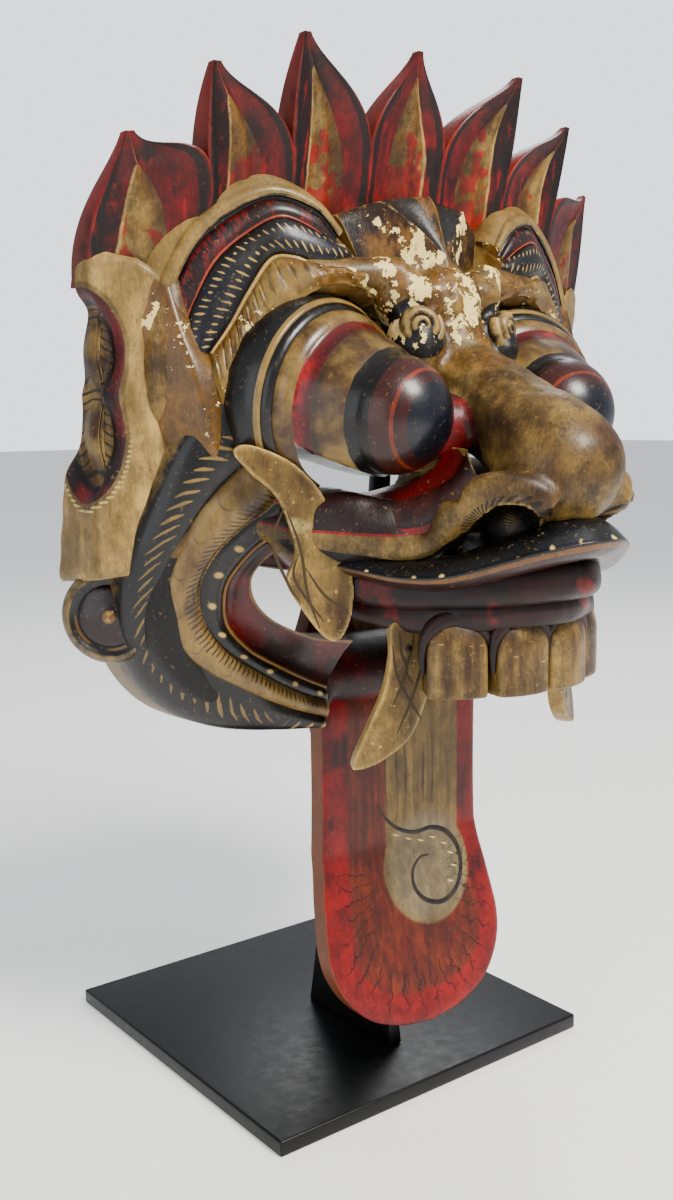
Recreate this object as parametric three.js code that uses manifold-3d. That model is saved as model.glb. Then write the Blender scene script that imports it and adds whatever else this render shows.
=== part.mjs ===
// A carved and painted wooden demon mask on a black steel stand.
// Millimetres, +Z up, the face looks towards -Y, and the origin is the centre of the base plate's
// underside. "Right" and "left" are the mask's own, so the right side lies at -X.
import * as THREE from 'three';
import { mergeVertices } from 'three/addons/utils/BufferGeometryUtils.js';
import Module from 'manifold-3d';

const wasm = await Module();
wasm.setup();

// ---- driving dimensions -------------------------------------------------------------------
const GAP = 0.3;                                  // clearance between touching pieces
const TIDY = 2;                                   // slivers thinner than this left by joins are merged
const BASE = { side: 200, thick: 8, ease: 1.2 };  // stand's foot plate
const POST = { thick: 8, rod: 5.5, rodY: -53, top: 404 };
const FRONT = { y: -84, curve: 0.0013 };          // front of the head in plan: y + curve * x^2
const HEAD = { half: 128, bottom: 286, top: 452 };
const BACK = { y: -4, z: 255, lean: 0.213 };      // sawn back of the mask, leaning forward going up
const HOLLOW = { at: [0, -10, 318], radii: [108, 82, 104] };
const EYE = { at: [63, -74, 347], to: [46, -153, 335], ring: 48, ball: 25.5 };
const CROWN = { thick: 15, lean: 0.2, foot: 420, front: -76, wrap: 32, half: 154, foldZ: 462, drop: 0.0021 };
const TONGUE = { half: 50.5, flare: 56.5, thick: 9, bottom: 35, top: 226, y: -66, curl: 24, bend: 125 };
const TOOTH = { half: 13.5, thick: 17, bottom: 219, top: 250 };
const TUSK = { thick: 9, at: [80, -104], turn: 30 };
const FANG = { thick: 8, at: [58, -124], turn: 30 };

// ---- solids ---------------------------------------------------------------------------------
/** Turns a closed three.js geometry into a solid. */
function solid(geometry) {
  const bare = geometry.index ? geometry.toNonIndexed() : geometry.clone();
  for (const name of ['normal', 'uv']) bare.deleteAttribute(name);
  const merged = mergeVertices(bare, 1e-3);
  const vertProperties = new Float32Array(merged.attributes.position.array);
  const triVerts = new Uint32Array(merged.index.array);
  return new wasm.Manifold(new wasm.Mesh({ numProp: 3, vertProperties, triVerts }));
}

/** The same geometry on the other side of the middle plane, still facing out. */
function mirrored(geometry) {
  const copy = geometry.index ? geometry.toNonIndexed() : geometry.clone();
  const place = copy.attributes.position;
  for (let i = 0; i < place.count; i += 3) {
    const corners = [0, 1, 2].map((k) => new THREE.Vector3().fromBufferAttribute(place, i + k));
    [corners[0], corners[2], corners[1]].forEach((p, k) => place.setXYZ(i + k, -p.x, p.y, p.z));
  }
  return copy;
}

const join = (list) => list.reduce((whole, piece) => whole.add(piece));
const both = (geometry) => solid(geometry).add(solid(mirrored(geometry)));

/** The main body of a cut solid, without the crumbs that a cut leaves. */
const largest = (form) => form.decompose().reduce((a, b) => (a.volume() > b.volume() ? a : b));

/** Moves every point of a geometry by a function of its place. */
function reshape(geometry, move) {
  const place = geometry.attributes.position;
  const point = new THREE.Vector3();
  for (let i = 0; i < place.count; i += 1) {
    point.fromBufferAttribute(place, i);
    move(point);
    place.setXYZ(i, point.x, point.y, point.z);
  }
  return geometry;
}

/** An egg of three radii, turned (degrees about x, y, z) and placed. */
function egg(at, radii, turn = [0, 0, 0], around = 12, down = 7) {
  const shape = new THREE.SphereGeometry(1, around, down).rotateX(Math.PI / 2);
  shape.scale(...radii);
  const angles = turn.map(THREE.MathUtils.degToRad);
  shape.rotateX(angles[0]).rotateY(angles[1]).rotateZ(angles[2]);
  return shape.translate(...at);
}

/** A round roll of wood along a curve, drawn thin at its ends. */
function roll(points, radius, { steps = 9, sides = 8, ends = [0.35, 0.35], squash = 1 } = {}) {
  const path = new THREE.CatmullRomCurve3(points.map((p) => new THREE.Vector3(...p)));
  const section = new THREE.Shape().absarc(0, 0, radius, 0, 2 * Math.PI);
  const shape = new THREE.ExtrudeGeometry(section, {
    steps, curveSegments: sides / 2, extrudePath: path,
  });
  const centres = path.getSpacedPoints(steps);
  return reshape(shape, (p) => {
    let near = 0;
    centres.forEach((c, i) => { if (c.distanceTo(p) < centres[near].distanceTo(p)) near = i; });
    const t = near / steps;
    const thin = Math.min(1, ends[0] + 4 * t * (1 - ends[0]), ends[1] + 4 * (1 - t) * (1 - ends[1]));
    p.sub(centres[near]).multiplyScalar(thin);
    p.y *= squash;
    p.add(centres[near]);
  });
}

/** A closed outline through the points, either along a smooth curve or with straight edges. */
function outline(points, smooth = true, segments = 40) {
  const flat = points.map((p) => new THREE.Vector2(...p));
  if (!smooth) return new THREE.Shape(flat);
  return new THREE.Shape(new THREE.SplineCurve([...flat, flat[0]]).getPoints(segments));
}

/** A board cut to an outline drawn in x and z, its middle at y, with eased edges, grown all round. */
function board(shape, thick, y, ease = 1, curveSegments = 12, grow = 0) {
  const depth = thick - 2 * ease + 2 * grow;
  const cut = new THREE.ExtrudeGeometry(shape, {
    depth, bevelEnabled: ease > 0, bevelThickness: ease, bevelSize: ease,
    bevelOffset: grow - ease, bevelSegments: 1, curveSegments,
  });
  return cut.translate(0, 0, -depth / 2).rotateX(Math.PI / 2).translate(0, y, 0);
}

/** A turned piece: radius and height pairs about the line from one point towards another. */
function turned(profile, at, to, around = 20) {
  const shape = new THREE.LatheGeometry(profile.map((p) => new THREE.Vector2(...p)), around);
  const way = new THREE.Vector3(...to).sub(new THREE.Vector3(...at)).normalize();
  shape.applyQuaternion(new THREE.Quaternion().setFromUnitVectors(new THREE.Vector3(0, 1, 0), way));
  return shape.translate(...at);
}

/** Front of the head in plan. */
const frontY = (x) => FRONT.y + FRONT.curve * x * x;

/** The half space behind the leaning sawn back. */
function behindBack() {
  const depth = 200;
  const block = new THREE.BoxGeometry(500, depth, 700).translate(0, depth / 2, 0);
  block.rotateX(Math.atan(BACK.lean));
  return solid(block.translate(0, BACK.y, BACK.z));
}

// ---- the head -------------------------------------------------------------------------------
/** Block of the head: curved front, straight sides, upper cheeks. */
function headBlock() {
  const plan = new THREE.Shape();
  const half = HEAD.half;
  plan.moveTo(-half, 40);
  const steps = 10;
  for (let i = 0; i <= steps; i += 1) {
    const x = -half + (2 * half * i) / steps;
    plan.lineTo(x, frontY(x));
  }
  plan.lineTo(half, 40);
  const block = new THREE.ExtrudeGeometry(plan, { depth: HEAD.top - HEAD.bottom, bevelEnabled: false });
  const face = outline([[-128, 300], [-134, 360], [-131, 405], [-107, 441], [-66, 451], [0, 456],
    [66, 451], [107, 441], [131, 405], [134, 360], [128, 300], [88, 270], [0, 262], [-88, 270]]);
  return solid(block.translate(0, 0, HEAD.bottom)).intersect(solid(board(face, 300, -60, 0)));
}

/** Muzzle that carries nose, lips and gums. */
function muzzle() {
  const mid = [
    egg([0, -88, 288], [88, 62, 32], [0, 0, 0], 18, 8),
    egg([0, -118, 362], [21, 24, 30], [0, 0, 0], 12, 7),
    egg([0, -145, 336], [23, 30, 25], [-10, 0, 0], 14, 8),
    egg([0, -169, 315], [27, 29, 26], [0, 0, 0], 16, 9),
    egg([0, -150, 287], [36, 44, 15]),
  ];
  const side = [
    egg([36, -152, 304], [19, 24, 15], [0, 14, 24]),
    egg([60, -108, 300], [32, 30, 16], [0, 10, 24]),
  ];
  return join([...mid.map(solid), ...side.map(both)]);
}

/** Upper lip, its turned corner and the three gum rolls under it. */
function lips() {
  const lip = [[80, -98, 290], [72, -118, 284], [60, -135, 279], [45, -150, 277], [25, -173, 283],
    [0, -190, 287]];
  const gum = [[70, -112, 264], [58, -134, 262], [42, -150, 264], [22, -169, 266], [0, -181, 268]];
  const low = [[62, -118, 250], [54, -134, 251], [40, -150, 253], [21, -164, 255], [0, -172, 257]];
  return join([
    both(roll(lip, 9.5, { ends: [0.3, 1], steps: 11 })),
    both(roll(gum, 9, { ends: [0.4, 1] })),
    both(roll(low, 8, { ends: [0.4, 1] })),
    solid(egg([0, -187, 287], [14, 15, 9])),
  ]);
}

/** Four broad upper teeth, rounded on top and square below. */
function teeth() {
  const { half, thick, bottom, top } = TOOTH;
  const cut = new THREE.Shape();
  cut.moveTo(-half + 0.3, bottom);
  cut.lineTo(half - 0.3, bottom);
  cut.lineTo(half, top - half);
  cut.absellipse(0, top - half, half, half, 0, Math.PI);
  const row = [{ at: [13.2, -162], turn: 9 }, { at: [38.5, -150], turn: 33 }];
  const filler = solid(egg([0, -118, 250], [58, 46, 26], [0, 0, 0], 14, 7));
  return join([filler, ...row.map(({ at, turn }) => {
    const tooth = reshape(board(cut, thick, 0, 3, 4), (p) => { p.y += 0.016 * p.x * p.x; });
    return both(tooth.rotateZ(THREE.MathUtils.degToRad(turn)).translate(at[0], at[1], 0));
  })]);
}

/** Bulging eye: stepped rings, tapered barrel and ball, with its lid below. */
function eyes() {
  const { ring, ball, at, to } = EYE;
  const profile = [[0, -20], [ring - 4, -20], [ring, 0], [ring, 11], [ring - 7, 18],
    [ring - 9, 24], [ring - 14, 28], [ring - 16, 34], [ball + 4, 45], [ball, 52]];
  const arc = 5;
  for (let i = 0; i <= arc; i += 1) {
    const angle = (i / arc) * (Math.PI / 2);
    profile.push([ball * Math.cos(angle), 53 + ball * Math.sin(angle)]);
  }
  profile[profile.length - 1][0] = 0;
  const lid = [[104, -72, 312], [88, -98, 303], [66, -122, 301], [46, -134, 302], [30, -134, 316],
    [26, -120, 334]];
  return join([both(turned(profile, at, to)), both(roll(lid, 9, { steps: 12 }))]);
}

/** Brow arches, lids and the carved gold plates around the eyes. */
function brows() {
  const arch = [[41, -78, 424], [56, -76, 431], [78, -71, 432], [97, -65, 425], [109, -61, 411],
    [116, -60, 394], [119, -61, 374]];
  const lid = [[46, -82, 412], [62, -80, 415], [79, -76, 415], [93, -72, 405], [103, -70, 390],
    [109, -69, 372]];
  const plate = [[30, -92, 402], [50, -90, 400], [71, -85, 398], [88, -79, 386], [100, -75, 366],
    [107, -71, 346]];
  return join([
    both(roll(arch, 9, { steps: 13 })),
    both(roll(lid, 10, { steps: 11 })),
    both(roll(plate, 9, { steps: 10 })),
    both(egg([122, -58, 366], [13, 12, 36], [0, -4, 24])),
    both(egg([114, -62, 334], [12, 12, 22], [0, 24, 20])),
    both(egg([116, -46, 300], [20, 20, 40])),
  ]);
}

/** Forehead jewel, knots and curls between the eyes. */
function forehead() {
  return join([
    solid(egg([0, -90, 426], [25, 20, 25])),
    solid(egg([0, -106, 404], [15, 15, 18])),
    solid(egg([0, -112, 380], [19, 20, 20])),
    both(egg([21, -92, 418], [11, 14, 20], [0, 14, 0])),
    both(egg([22, -106, 388], [13, 15, 13])),
    both(egg([25, -112, 366], [12, 16, 16])),
  ]);
}

/** Ear: a tall block with a hollowed front and a round lobe below. */
function ears() {
  const plan = new THREE.Shape([[112, -66], [124, -64], [136, -54], [152, -44], [154, -20], [150, 30],
    [112, 30]].map((p) => new THREE.Vector2(...p)));
  const block = new THREE.ExtrudeGeometry(plan, { depth: 170, bevelEnabled: false }).translate(0, 0, 238);
  const face = outline([[108, 412], [146, 407], [154, 396], [154, 330], [150, 262], [140, 244], [124, 252],
    [112, 300]], true, 32);
  const ear = both(block).intersect(both(board(face, 300, -60, 0)));
  const bowl = [
    both(egg([152, -50, 371], [17, 9, 23], [0, 0, 42])),
    both(egg([152, -48, 328], [17, 9, 27], [0, 0, 42])),
  ];
  const lobe = both(turned([[0, -14], [20, -14], [22, -6], [22, 4], [18, 8], [0, 8]],
    [139, -30, 250], [147, -41, 250], 20));
  return join([ear.subtract(join(bowl)), lobe]);
}

/** Front of the crown: wrapped back at the sides, leaning forward above its foot. */
function crownY(x, z) {
  const fold = CROWN.foldZ - CROWN.drop * x * x;
  return CROWN.front + CROWN.wrap * (Math.abs(x) / CROWN.half) ** 4 - CROWN.lean * (z - fold);
}

/** Seven flames of the crown on their curved foot. */
function crown() {
  const flames = [
    { tip: [0, 506], foot: [[-23, 461], [23, 461]] },
    { tip: [65, 504], foot: [[21, 460], [66, 451]] },
    { tip: [107, 487], foot: [[64, 451], [106, 441]] },
    { tip: [140, 458], foot: [[104, 441], [152, 405]] },
  ];
  const leaves = flames.map(({ tip, foot: [inner, outer] }) => {
    const centre = [(inner[0] + outer[0]) / 2, CROWN.foot - 10];
    const leaf = new THREE.Shape();
    leaf.moveTo(centre[0], Math.min(centre[1], outer[1] - 20));
    leaf.lineTo(outer[0], outer[1] - 6);
    const rise = tip[1] - outer[1];
    leaf.bezierCurveTo(outer[0] + 3, outer[1] + 0.45 * rise, tip[0] + 1, tip[1] - 0.3 * rise, ...tip);
    leaf.bezierCurveTo(tip[0] - 8, tip[1] - 14, inner[0] - 1, inner[1] + 26, inner[0], inner[1] - 8);
    const cut = board(leaf, CROWN.thick, 0, 1, 4);
    const shaped = reshape(cut, (p) => { p.y += crownY(p.x, p.z) + CROWN.thick / 2; });
    return tip[0] === 0 ? solid(shaped) : both(shaped);
  });
  return join(leaves);
}

/** Lower jaw: the two banded cheeks, the mouth's floor and the tongue that runs out of it. */
function jaw() {
  const scale = [[100, -76, 304], [113, -72, 291], [121, -66, 278], [124, -62, 264], [121, -58, 249],
    [115, -56, 236], [104, -60, 224], [88, -66, 214], [70, -69, 205], [44, -68, 200]];
  const fringe = [[112, -60, 322], [125, -55, 302], [134, -48, 282], [137, -40, 262], [134, -34, 242],
    [126, -34, 224], [112, -40, 210], [92, -50, 203], [68, -58, 201], [40, -60, 202]];
  const inner = [[84, -82, 292], [96, -76, 282], [105, -70, 270], [107, -66, 258], [104, -63, 246],
    [96, -65, 234], [82, -70, 225], [66, -72, 216], [44, -70, 212]];
  const backing = [[118, -40, 296], [126, -34, 270], [124, -28, 246], [112, -32, 226], [88, -40, 214],
    [40, -46, 212]];
  return join([
    both(roll(scale, 12.5, { steps: 16, ends: [0.5, 1] })),
    both(roll(fringe, 11, { steps: 12, ends: [0.5, 1] })),
    both(roll(inner, 8, { steps: 13, ends: [0.5, 1] })),
    both(roll(backing, 13, { steps: 7, sides: 6, ends: [0.6, 1] })),
    solid(egg([0, -52, 214], [78, 26, 19], [10, 0, 0], 16, 7)),
  ]);
}

/** Tongue: a thin board, its lower end broad, round and curled a little forward. */
function tongue() {
  const { half, flare, bottom, top } = TONGUE;
  const right = [[half, top], [half, 180], [half, 150], [half + 1, 120], [half + 3.5, 102], [flare - 0.7, 86],
    [flare, 76], [flare - 2, 65], [flare - 8, 54], [flare - 19, 43], [flare - 34, bottom + 2]];
  const flat = [...right, [0, bottom], ...right.map(([x, z]) => [-x, z]).reverse()];
  const cut = board(outline(flat, false), TONGUE.thick, TONGUE.y, 1.2);
  return solid(reshape(cut, (p) => {
    const below = Math.max(0, TONGUE.bend - p.z) / (TONGUE.bend - bottom);
    const above = Math.max(0, p.z - 190) / (top - 190);
    p.y += -TONGUE.curl * below ** 1.1 + 22 * above ** 2;
  }));
}

/** Through cuts: the hollow, the eye slits, the open mouth and the nostrils. */
function hollows() {
  const slit = outline([[89, 327], [83, 316], [68, 307], [52, 303], [38, 305], [33, 314], [46, 312],
    [62, 314], [80, 321]], false);
  const through = [
    solid(egg(HOLLOW.at, HOLLOW.radii, [0, 0, 0], 18, 11)),
    both(egg([46, -66, 316], [44, 42, 30], [0, 0, 0], 12, 8)),
    solid(egg([0, -20, 256], [92, 66, 24], [0, 0, 0], 18, 7)),
  ];
  const slits = both(board(slit, 90, -118, 0));
  return { through: join(through), slits };
}

/** The whole carved head as one solid. */
function maskSolid() {
  const { through, slits } = hollows();
  const face = join([headBlock(), muzzle(), brows(), forehead(), ears(), eyes()]);
  const nostrils = both(egg([22, -178, 298], [8, 12, 7], [0, 0, 20]));
  const rodHole = new THREE.CylinderGeometry(POST.rod + 0.5, POST.rod + 0.5, 30, 20)
    .rotateX(Math.PI / 2).translate(0, POST.rodY, POST.top + GAP - 15);
  const carved = join([face.subtract(through), lips(), teeth(), crown(), jaw(), tongue()]);
  const rough = carved.subtract(join([slits, nostrils, behindBack()])).asOriginal().simplify(TIDY);
  return largest(rough.subtract(join([both(tuskBoard(GAP)), both(fangBoard(GAP)), solid(rodHole)])));
}

// ---- boards nailed on -----------------------------------------------------------------------
/** Left tusk, that curves up out of the mouth's corner: a crescent board turned to face outward. */
function tuskBoard(grow = 0) {
  const cut = outline([[34, 324], [27, 327], [10, 320], [-3, 307], [-13, 286], [-17, 267], [-16, 252],
    [-11, 242], [-4, 243], [6, 256], [12, 268], [8, 281], [15, 303], [27, 315]], true, 22);
  const flat = board(cut, TUSK.thick, 0, 1, 12, grow).rotateZ(THREE.MathUtils.degToRad(TUSK.turn));
  return flat.translate(...TUSK.at, 0);
}

/** Left fang, that hangs beside the teeth: a curved board with a square upper end. */
function fangBoard(grow = 0) {
  const cut = outline([[-4, 249], [-18, 249], [-25, 240], [-23, 228], [-19, 214], [-12, 198], [0, 188],
    [11, 184], [14, 187], [6, 205], [0, 219], [-3, 234]], true, 22);
  const flat = board(cut, FANG.thick, 0, 1, 12, grow).rotateZ(THREE.MathUtils.degToRad(FANG.turn));
  return flat.translate(...FANG.at, 0);
}

// ---- stand ----------------------------------------------------------------------------------
/** Square steel foot plate with eased edges. */
function basePlate() {
  const { side, thick, ease } = BASE;
  const half = side / 2 - ease;
  const square = new THREE.Shape([[-half, -half], [half, -half], [half, half], [-half, half]]
    .map((p) => new THREE.Vector2(...p)));
  return new THREE.ExtrudeGeometry(square, {
    depth: thick - 2 * ease, bevelThickness: ease, bevelSize: ease, bevelSegments: 2,
  }).translate(0, 0, ease);
}

/** Profiled steel upright with a bent rod welded to its head. */
function upright() {
  const profile = new THREE.Shape();
  profile.moveTo(-64, BASE.thick + GAP);
  profile.bezierCurveTo(-58, 50, -46, 84, -40, 120);
  profile.bezierCurveTo(-37, 140, -35, 156, -30, 172);
  profile.bezierCurveTo(-26, 182, -22, 187, -14, 190);
  profile.lineTo(12, 190);
  profile.bezierCurveTo(12, 172, -3, 158, -4, 140);
  profile.bezierCurveTo(-6, 100, -3, 60, 8, BASE.thick + GAP);
  const plate = new THREE.ExtrudeGeometry(profile, {
    depth: POST.thick - 1.2, bevelThickness: 0.6, bevelSize: 0.6, bevelOffset: -0.6, bevelSegments: 1,
    curveSegments: 8,
  });
  plate.translate(0, 0, -(POST.thick - 1.2) / 2).rotateY(Math.PI / 2).rotateX(Math.PI / 2);
  const path = [[0, -1, 178], [0, -1, 205], [0, -4, 228], [0, -26, 256], [0, -47, 282], [0, POST.rodY, 308],
    [0, POST.rodY, 356], [0, POST.rodY, POST.top]];
  const rod = roll(path, POST.rod, { steps: 16, sides: 8, ends: [1, 1] });
  return solid(plate).add(solid(rod));
}

// ---- the part -------------------------------------------------------------------------------
/** Wraps a solid as a named mesh. */
function piece(name, form, colour, roughness, metalness = 0) {
  const { vertProperties, triVerts } = form.getMesh();
  const geometry = new THREE.BufferGeometry();
  geometry.setAttribute('position', new THREE.BufferAttribute(vertProperties, 3));
  geometry.setIndex(new THREE.BufferAttribute(triVerts, 1));
  const material = new THREE.MeshStandardMaterial({ color: colour, roughness, metalness });
  const mesh = new THREE.Mesh(geometry, material);
  mesh.name = name;
  return mesh;
}

const group = new THREE.Group();
group.add(piece('mask', maskSolid(), 0x8a6a3c, 0.6));
group.add(piece('tusk_right', solid(mirrored(tuskBoard())), 0xb89a62, 0.6));
group.add(piece('tusk_left', solid(tuskBoard()), 0xb89a62, 0.6));
group.add(piece('fang_right', solid(mirrored(fangBoard())), 0xb89a62, 0.6));
group.add(piece('fang_left', solid(fangBoard()), 0xb89a62, 0.6));
group.add(piece('stand_base', solid(basePlate()), 0x0c0c0e, 0.45, 0.3));
group.add(piece('stand_upright', upright(), 0x0c0c0e, 0.45, 0.3));

export default group;
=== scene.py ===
"""A carved and painted wooden demon mask with a long tongue, on a black steel stand.

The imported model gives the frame: metres, +Z up, the face looking towards -Y, the origin in the middle
of the base plate's underside. Sizes below are in millimetres, and MM turns them into metres where a mesh
is made. What is called left is the mask's own left, at +X.
"""
import logging
import math
from dataclasses import dataclass, field
from enum import Enum
from typing import Callable, Sequence

import bpy
import numpy as np
from mathutils import Matrix, Vector, noise


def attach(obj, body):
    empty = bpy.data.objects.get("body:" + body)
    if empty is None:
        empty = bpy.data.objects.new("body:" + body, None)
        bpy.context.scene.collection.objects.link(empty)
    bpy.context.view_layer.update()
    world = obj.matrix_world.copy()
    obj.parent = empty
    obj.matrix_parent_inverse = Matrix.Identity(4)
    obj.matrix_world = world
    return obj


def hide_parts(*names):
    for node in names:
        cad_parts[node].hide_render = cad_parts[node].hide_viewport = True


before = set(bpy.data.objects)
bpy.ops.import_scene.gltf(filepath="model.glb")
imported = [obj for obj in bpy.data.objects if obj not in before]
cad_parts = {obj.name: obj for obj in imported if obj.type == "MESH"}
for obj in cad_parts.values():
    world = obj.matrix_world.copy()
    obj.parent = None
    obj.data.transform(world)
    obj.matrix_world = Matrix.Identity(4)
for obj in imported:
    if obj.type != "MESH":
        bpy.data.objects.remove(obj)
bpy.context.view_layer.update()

MM = 0.001
PAINT_DEPTH = 1.7
LOG = logging.getLogger("mask")
Point = tuple[float, float, float]
Move = Callable[[np.ndarray], np.ndarray]


# ------------------------------------------------------------------------------------------ carving tools
class Workshop:
    """The tools that rough out, join and smooth blocks of wood. Every place and size is in millimetres."""

    @staticmethod
    def deselect() -> None:
        """Leaves nothing selected."""
        for one in bpy.context.selected_objects:
            one.select_set(False)

    @classmethod
    def take(cls, *pieces: bpy.types.Object) -> bpy.types.Object:
        """Selects the pieces and makes the first one active.

        Args:
            pieces: the objects to select.
        Returns:
            The active object.
        """
        cls.deselect()
        for one in pieces:
            one.select_set(True)
        bpy.context.view_layer.objects.active = pieces[0]
        return pieces[0]

    @classmethod
    def settle(cls, piece: bpy.types.Object) -> bpy.types.Object:
        """Puts the object's place, turn and size into its mesh."""
        cls.take(piece)
        bpy.ops.object.transform_apply(location=True, rotation=True, scale=True)
        return piece

    @classmethod
    def egg(cls, at: Point, radii: Point, turn: Point = (0, 0, 0)) -> bpy.types.Object:
        """A rounded lump.

        Args:
            at: its middle.
            radii: half its size along x, y and z.
            turn: degrees about x, y and z.
        Returns:
            The lump.
        """
        cls.deselect()
        bpy.ops.mesh.primitive_uv_sphere_add(segments=40, ring_count=24, radius=1)
        lump = bpy.context.object
        lump.scale = [r * MM for r in radii]
        lump.rotation_euler = [math.radians(a) for a in turn]
        lump.location = [c * MM for c in at]
        return cls.settle(lump)

    @classmethod
    def roll(cls, points: Sequence[Point], radii: Sequence[float],
             squash: Point = (1, 1, 1)) -> bpy.types.Object:
        """A rounded roll along a smooth line, its radius changing along the way.

        Args:
            points: the line's points.
            radii: the roll's radius at evenly spread stations along the line.
            squash: factors of the roll's section along x, y and z.
        Returns:
            The roll.
        """
        cls.deselect()
        bpy.ops.curve.primitive_bezier_curve_add()
        line = bpy.context.object
        line.data.dimensions = "3D"
        line.data.splines.clear()
        spline = line.data.splines.new("BEZIER")
        spline.bezier_points.add(len(points) - 1)
        stations = np.linspace(0, 1, len(radii))
        for i, (knot, place) in enumerate(zip(spline.bezier_points, points)):
            knot.co = [c * MM / s for c, s in zip(place, squash)]
            knot.handle_left_type = knot.handle_right_type = "AUTO"
            knot.radius = float(np.interp(i / (len(points) - 1), stations, radii))
        line.data.resolution_u = 10
        line.data.bevel_depth = MM
        line.data.bevel_resolution = 5
        line.data.use_fill_caps = True
        bpy.ops.object.convert(target="MESH")
        made = bpy.context.object
        made.scale = squash
        return cls.settle(made)

    @classmethod
    def laid(cls, name: str, points: Sequence[Point], faces: list) -> bpy.types.Object:
        """A new piece, the only one selected.

        Args:
            name: its name.
            points: its points' places.
            faces: its faces, as numbers of the points.
        Returns:
            The piece.
        """
        mesh = bpy.data.meshes.new(name)
        mesh.from_pydata((np.array(points, float) * MM).tolist(), [], faces)
        piece = bpy.data.objects.new(name, mesh)
        bpy.context.collection.objects.link(piece)
        return cls.take(piece)

    @classmethod
    def face_out(cls, piece: bpy.types.Object) -> bpy.types.Object:
        """Turns every face of a closed piece outward."""
        cls.take(piece)
        bpy.ops.object.mode_set(mode="EDIT")
        bpy.ops.mesh.select_all(action="SELECT")
        bpy.ops.mesh.normals_make_consistent(inside=False)
        bpy.ops.object.mode_set(mode="OBJECT")
        return piece

    @classmethod
    def slab(cls, name: str, corners: Sequence[Point], push: Point) -> bpy.types.Object:
        """A flat outline pushed out to a thick piece.

        Args:
            name: the piece's name.
            corners: the outline's places.
            push: how far the outline is extruded, along x, y and z.
        Returns:
            The piece.
        """
        piece = cls.laid(name, corners, [tuple(range(len(corners)))])
        bpy.ops.object.mode_set(mode="EDIT")
        bpy.ops.mesh.select_all(action="SELECT")
        bpy.ops.mesh.extrude_region_move(TRANSFORM_OT_translate={"value": [step * MM for step in push]})
        bpy.ops.object.mode_set(mode="OBJECT")
        return cls.face_out(piece)

    @classmethod
    def plank(cls, outline: np.ndarray, thick: float, grain: float) -> bpy.types.Object:
        """A flat board standing in the x and z plane, its middle at y = 0, remeshed fine enough to bend.

        Args:
            outline: the board's outline as x and z pairs.
            thick: its thickness along y.
            grain: the size of its new mesh's faces.
        Returns:
            The board.
        """
        corners = [(x, -thick / 2, z) for x, z in outline]
        return cls.remesh(cls.slab("plank", corners, (0, thick, 0)), grain)

    @classmethod
    def mirror(cls, piece: bpy.types.Object) -> bpy.types.Object:
        """A copy of a piece on the other side of the middle plane, facing out."""
        cls.take(piece)
        bpy.ops.object.duplicate()
        other = bpy.context.object
        other.scale.x = -1
        return cls.face_out(cls.settle(other))

    @classmethod
    def join(cls, pieces: Sequence[bpy.types.Object], name: str) -> bpy.types.Object:
        """Joins pieces into one object of that name."""
        whole = cls.take(*pieces)
        bpy.ops.object.join()
        whole.name = name
        whole.data.name = name
        return whole

    @classmethod
    def remesh(cls, piece: bpy.types.Object, grain: float) -> bpy.types.Object:
        """Gives overlapping blocks one even skin with faces of the given size."""
        cls.take(piece)
        piece.data.remesh_voxel_size = grain * MM
        piece.data.use_remesh_fix_poles = False
        piece.data.use_remesh_preserve_volume = False
        bpy.ops.object.voxel_remesh()
        return piece

    @classmethod
    def apply(cls, piece: bpy.types.Object, kind: str, **settings: object) -> None:
        """Adds a modifier with its settings and applies it.

        Args:
            piece: the object to change.
            kind: the modifier's type.
            settings: the modifier's values by name.
        """
        cls.take(piece)
        modifier = piece.modifiers.new(kind.lower(), kind)
        for key, value in settings.items():
            setattr(modifier, key, value)
        bpy.ops.object.modifier_apply(modifier=modifier.name)

    @classmethod
    def cut(cls, piece: bpy.types.Object, tools: Sequence[bpy.types.Object]) -> None:
        """Cuts the tools' shapes out of a piece and throws the tools away."""
        for tool in tools:
            cls.apply(piece, "BOOLEAN", operation="DIFFERENCE", object=tool, solver="MANIFOLD")
            bpy.data.objects.remove(tool)

    @staticmethod
    def points(piece: bpy.types.Object) -> np.ndarray:
        """The places of a mesh's points in millimetres."""
        flat = np.empty(len(piece.data.vertices) * 3)
        piece.data.vertices.foreach_get("co", flat)
        return flat.reshape(-1, 3) / MM

    @staticmethod
    def place(piece: bpy.types.Object, points: np.ndarray) -> None:
        """Writes new places, in millimetres, to a mesh's points."""
        piece.data.vertices.foreach_set("co", (points * MM).ravel())
        piece.data.update()

    @staticmethod
    def normals(piece: bpy.types.Object) -> np.ndarray:
        """The normals of a mesh's points."""
        flat = np.empty(len(piece.data.vertices) * 3)
        piece.data.vertex_normals.foreach_get("vector", flat)
        return flat.reshape(-1, 3)

    @staticmethod
    def note(piece: bpy.types.Object, zones: dict[str, np.ndarray]) -> None:
        """Writes named values, one for each point, to a mesh."""
        for label, values in zones.items():
            layer = piece.data.attributes.new(label, "FLOAT", "POINT")
            layer.data.foreach_set("value", values.astype(float))

    @classmethod
    def reshape(cls, piece: bpy.types.Object, move: Move) -> bpy.types.Object:
        """Moves every point of a piece by a function of all the points."""
        cls.place(piece, move(cls.points(piece)))
        return piece


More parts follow.
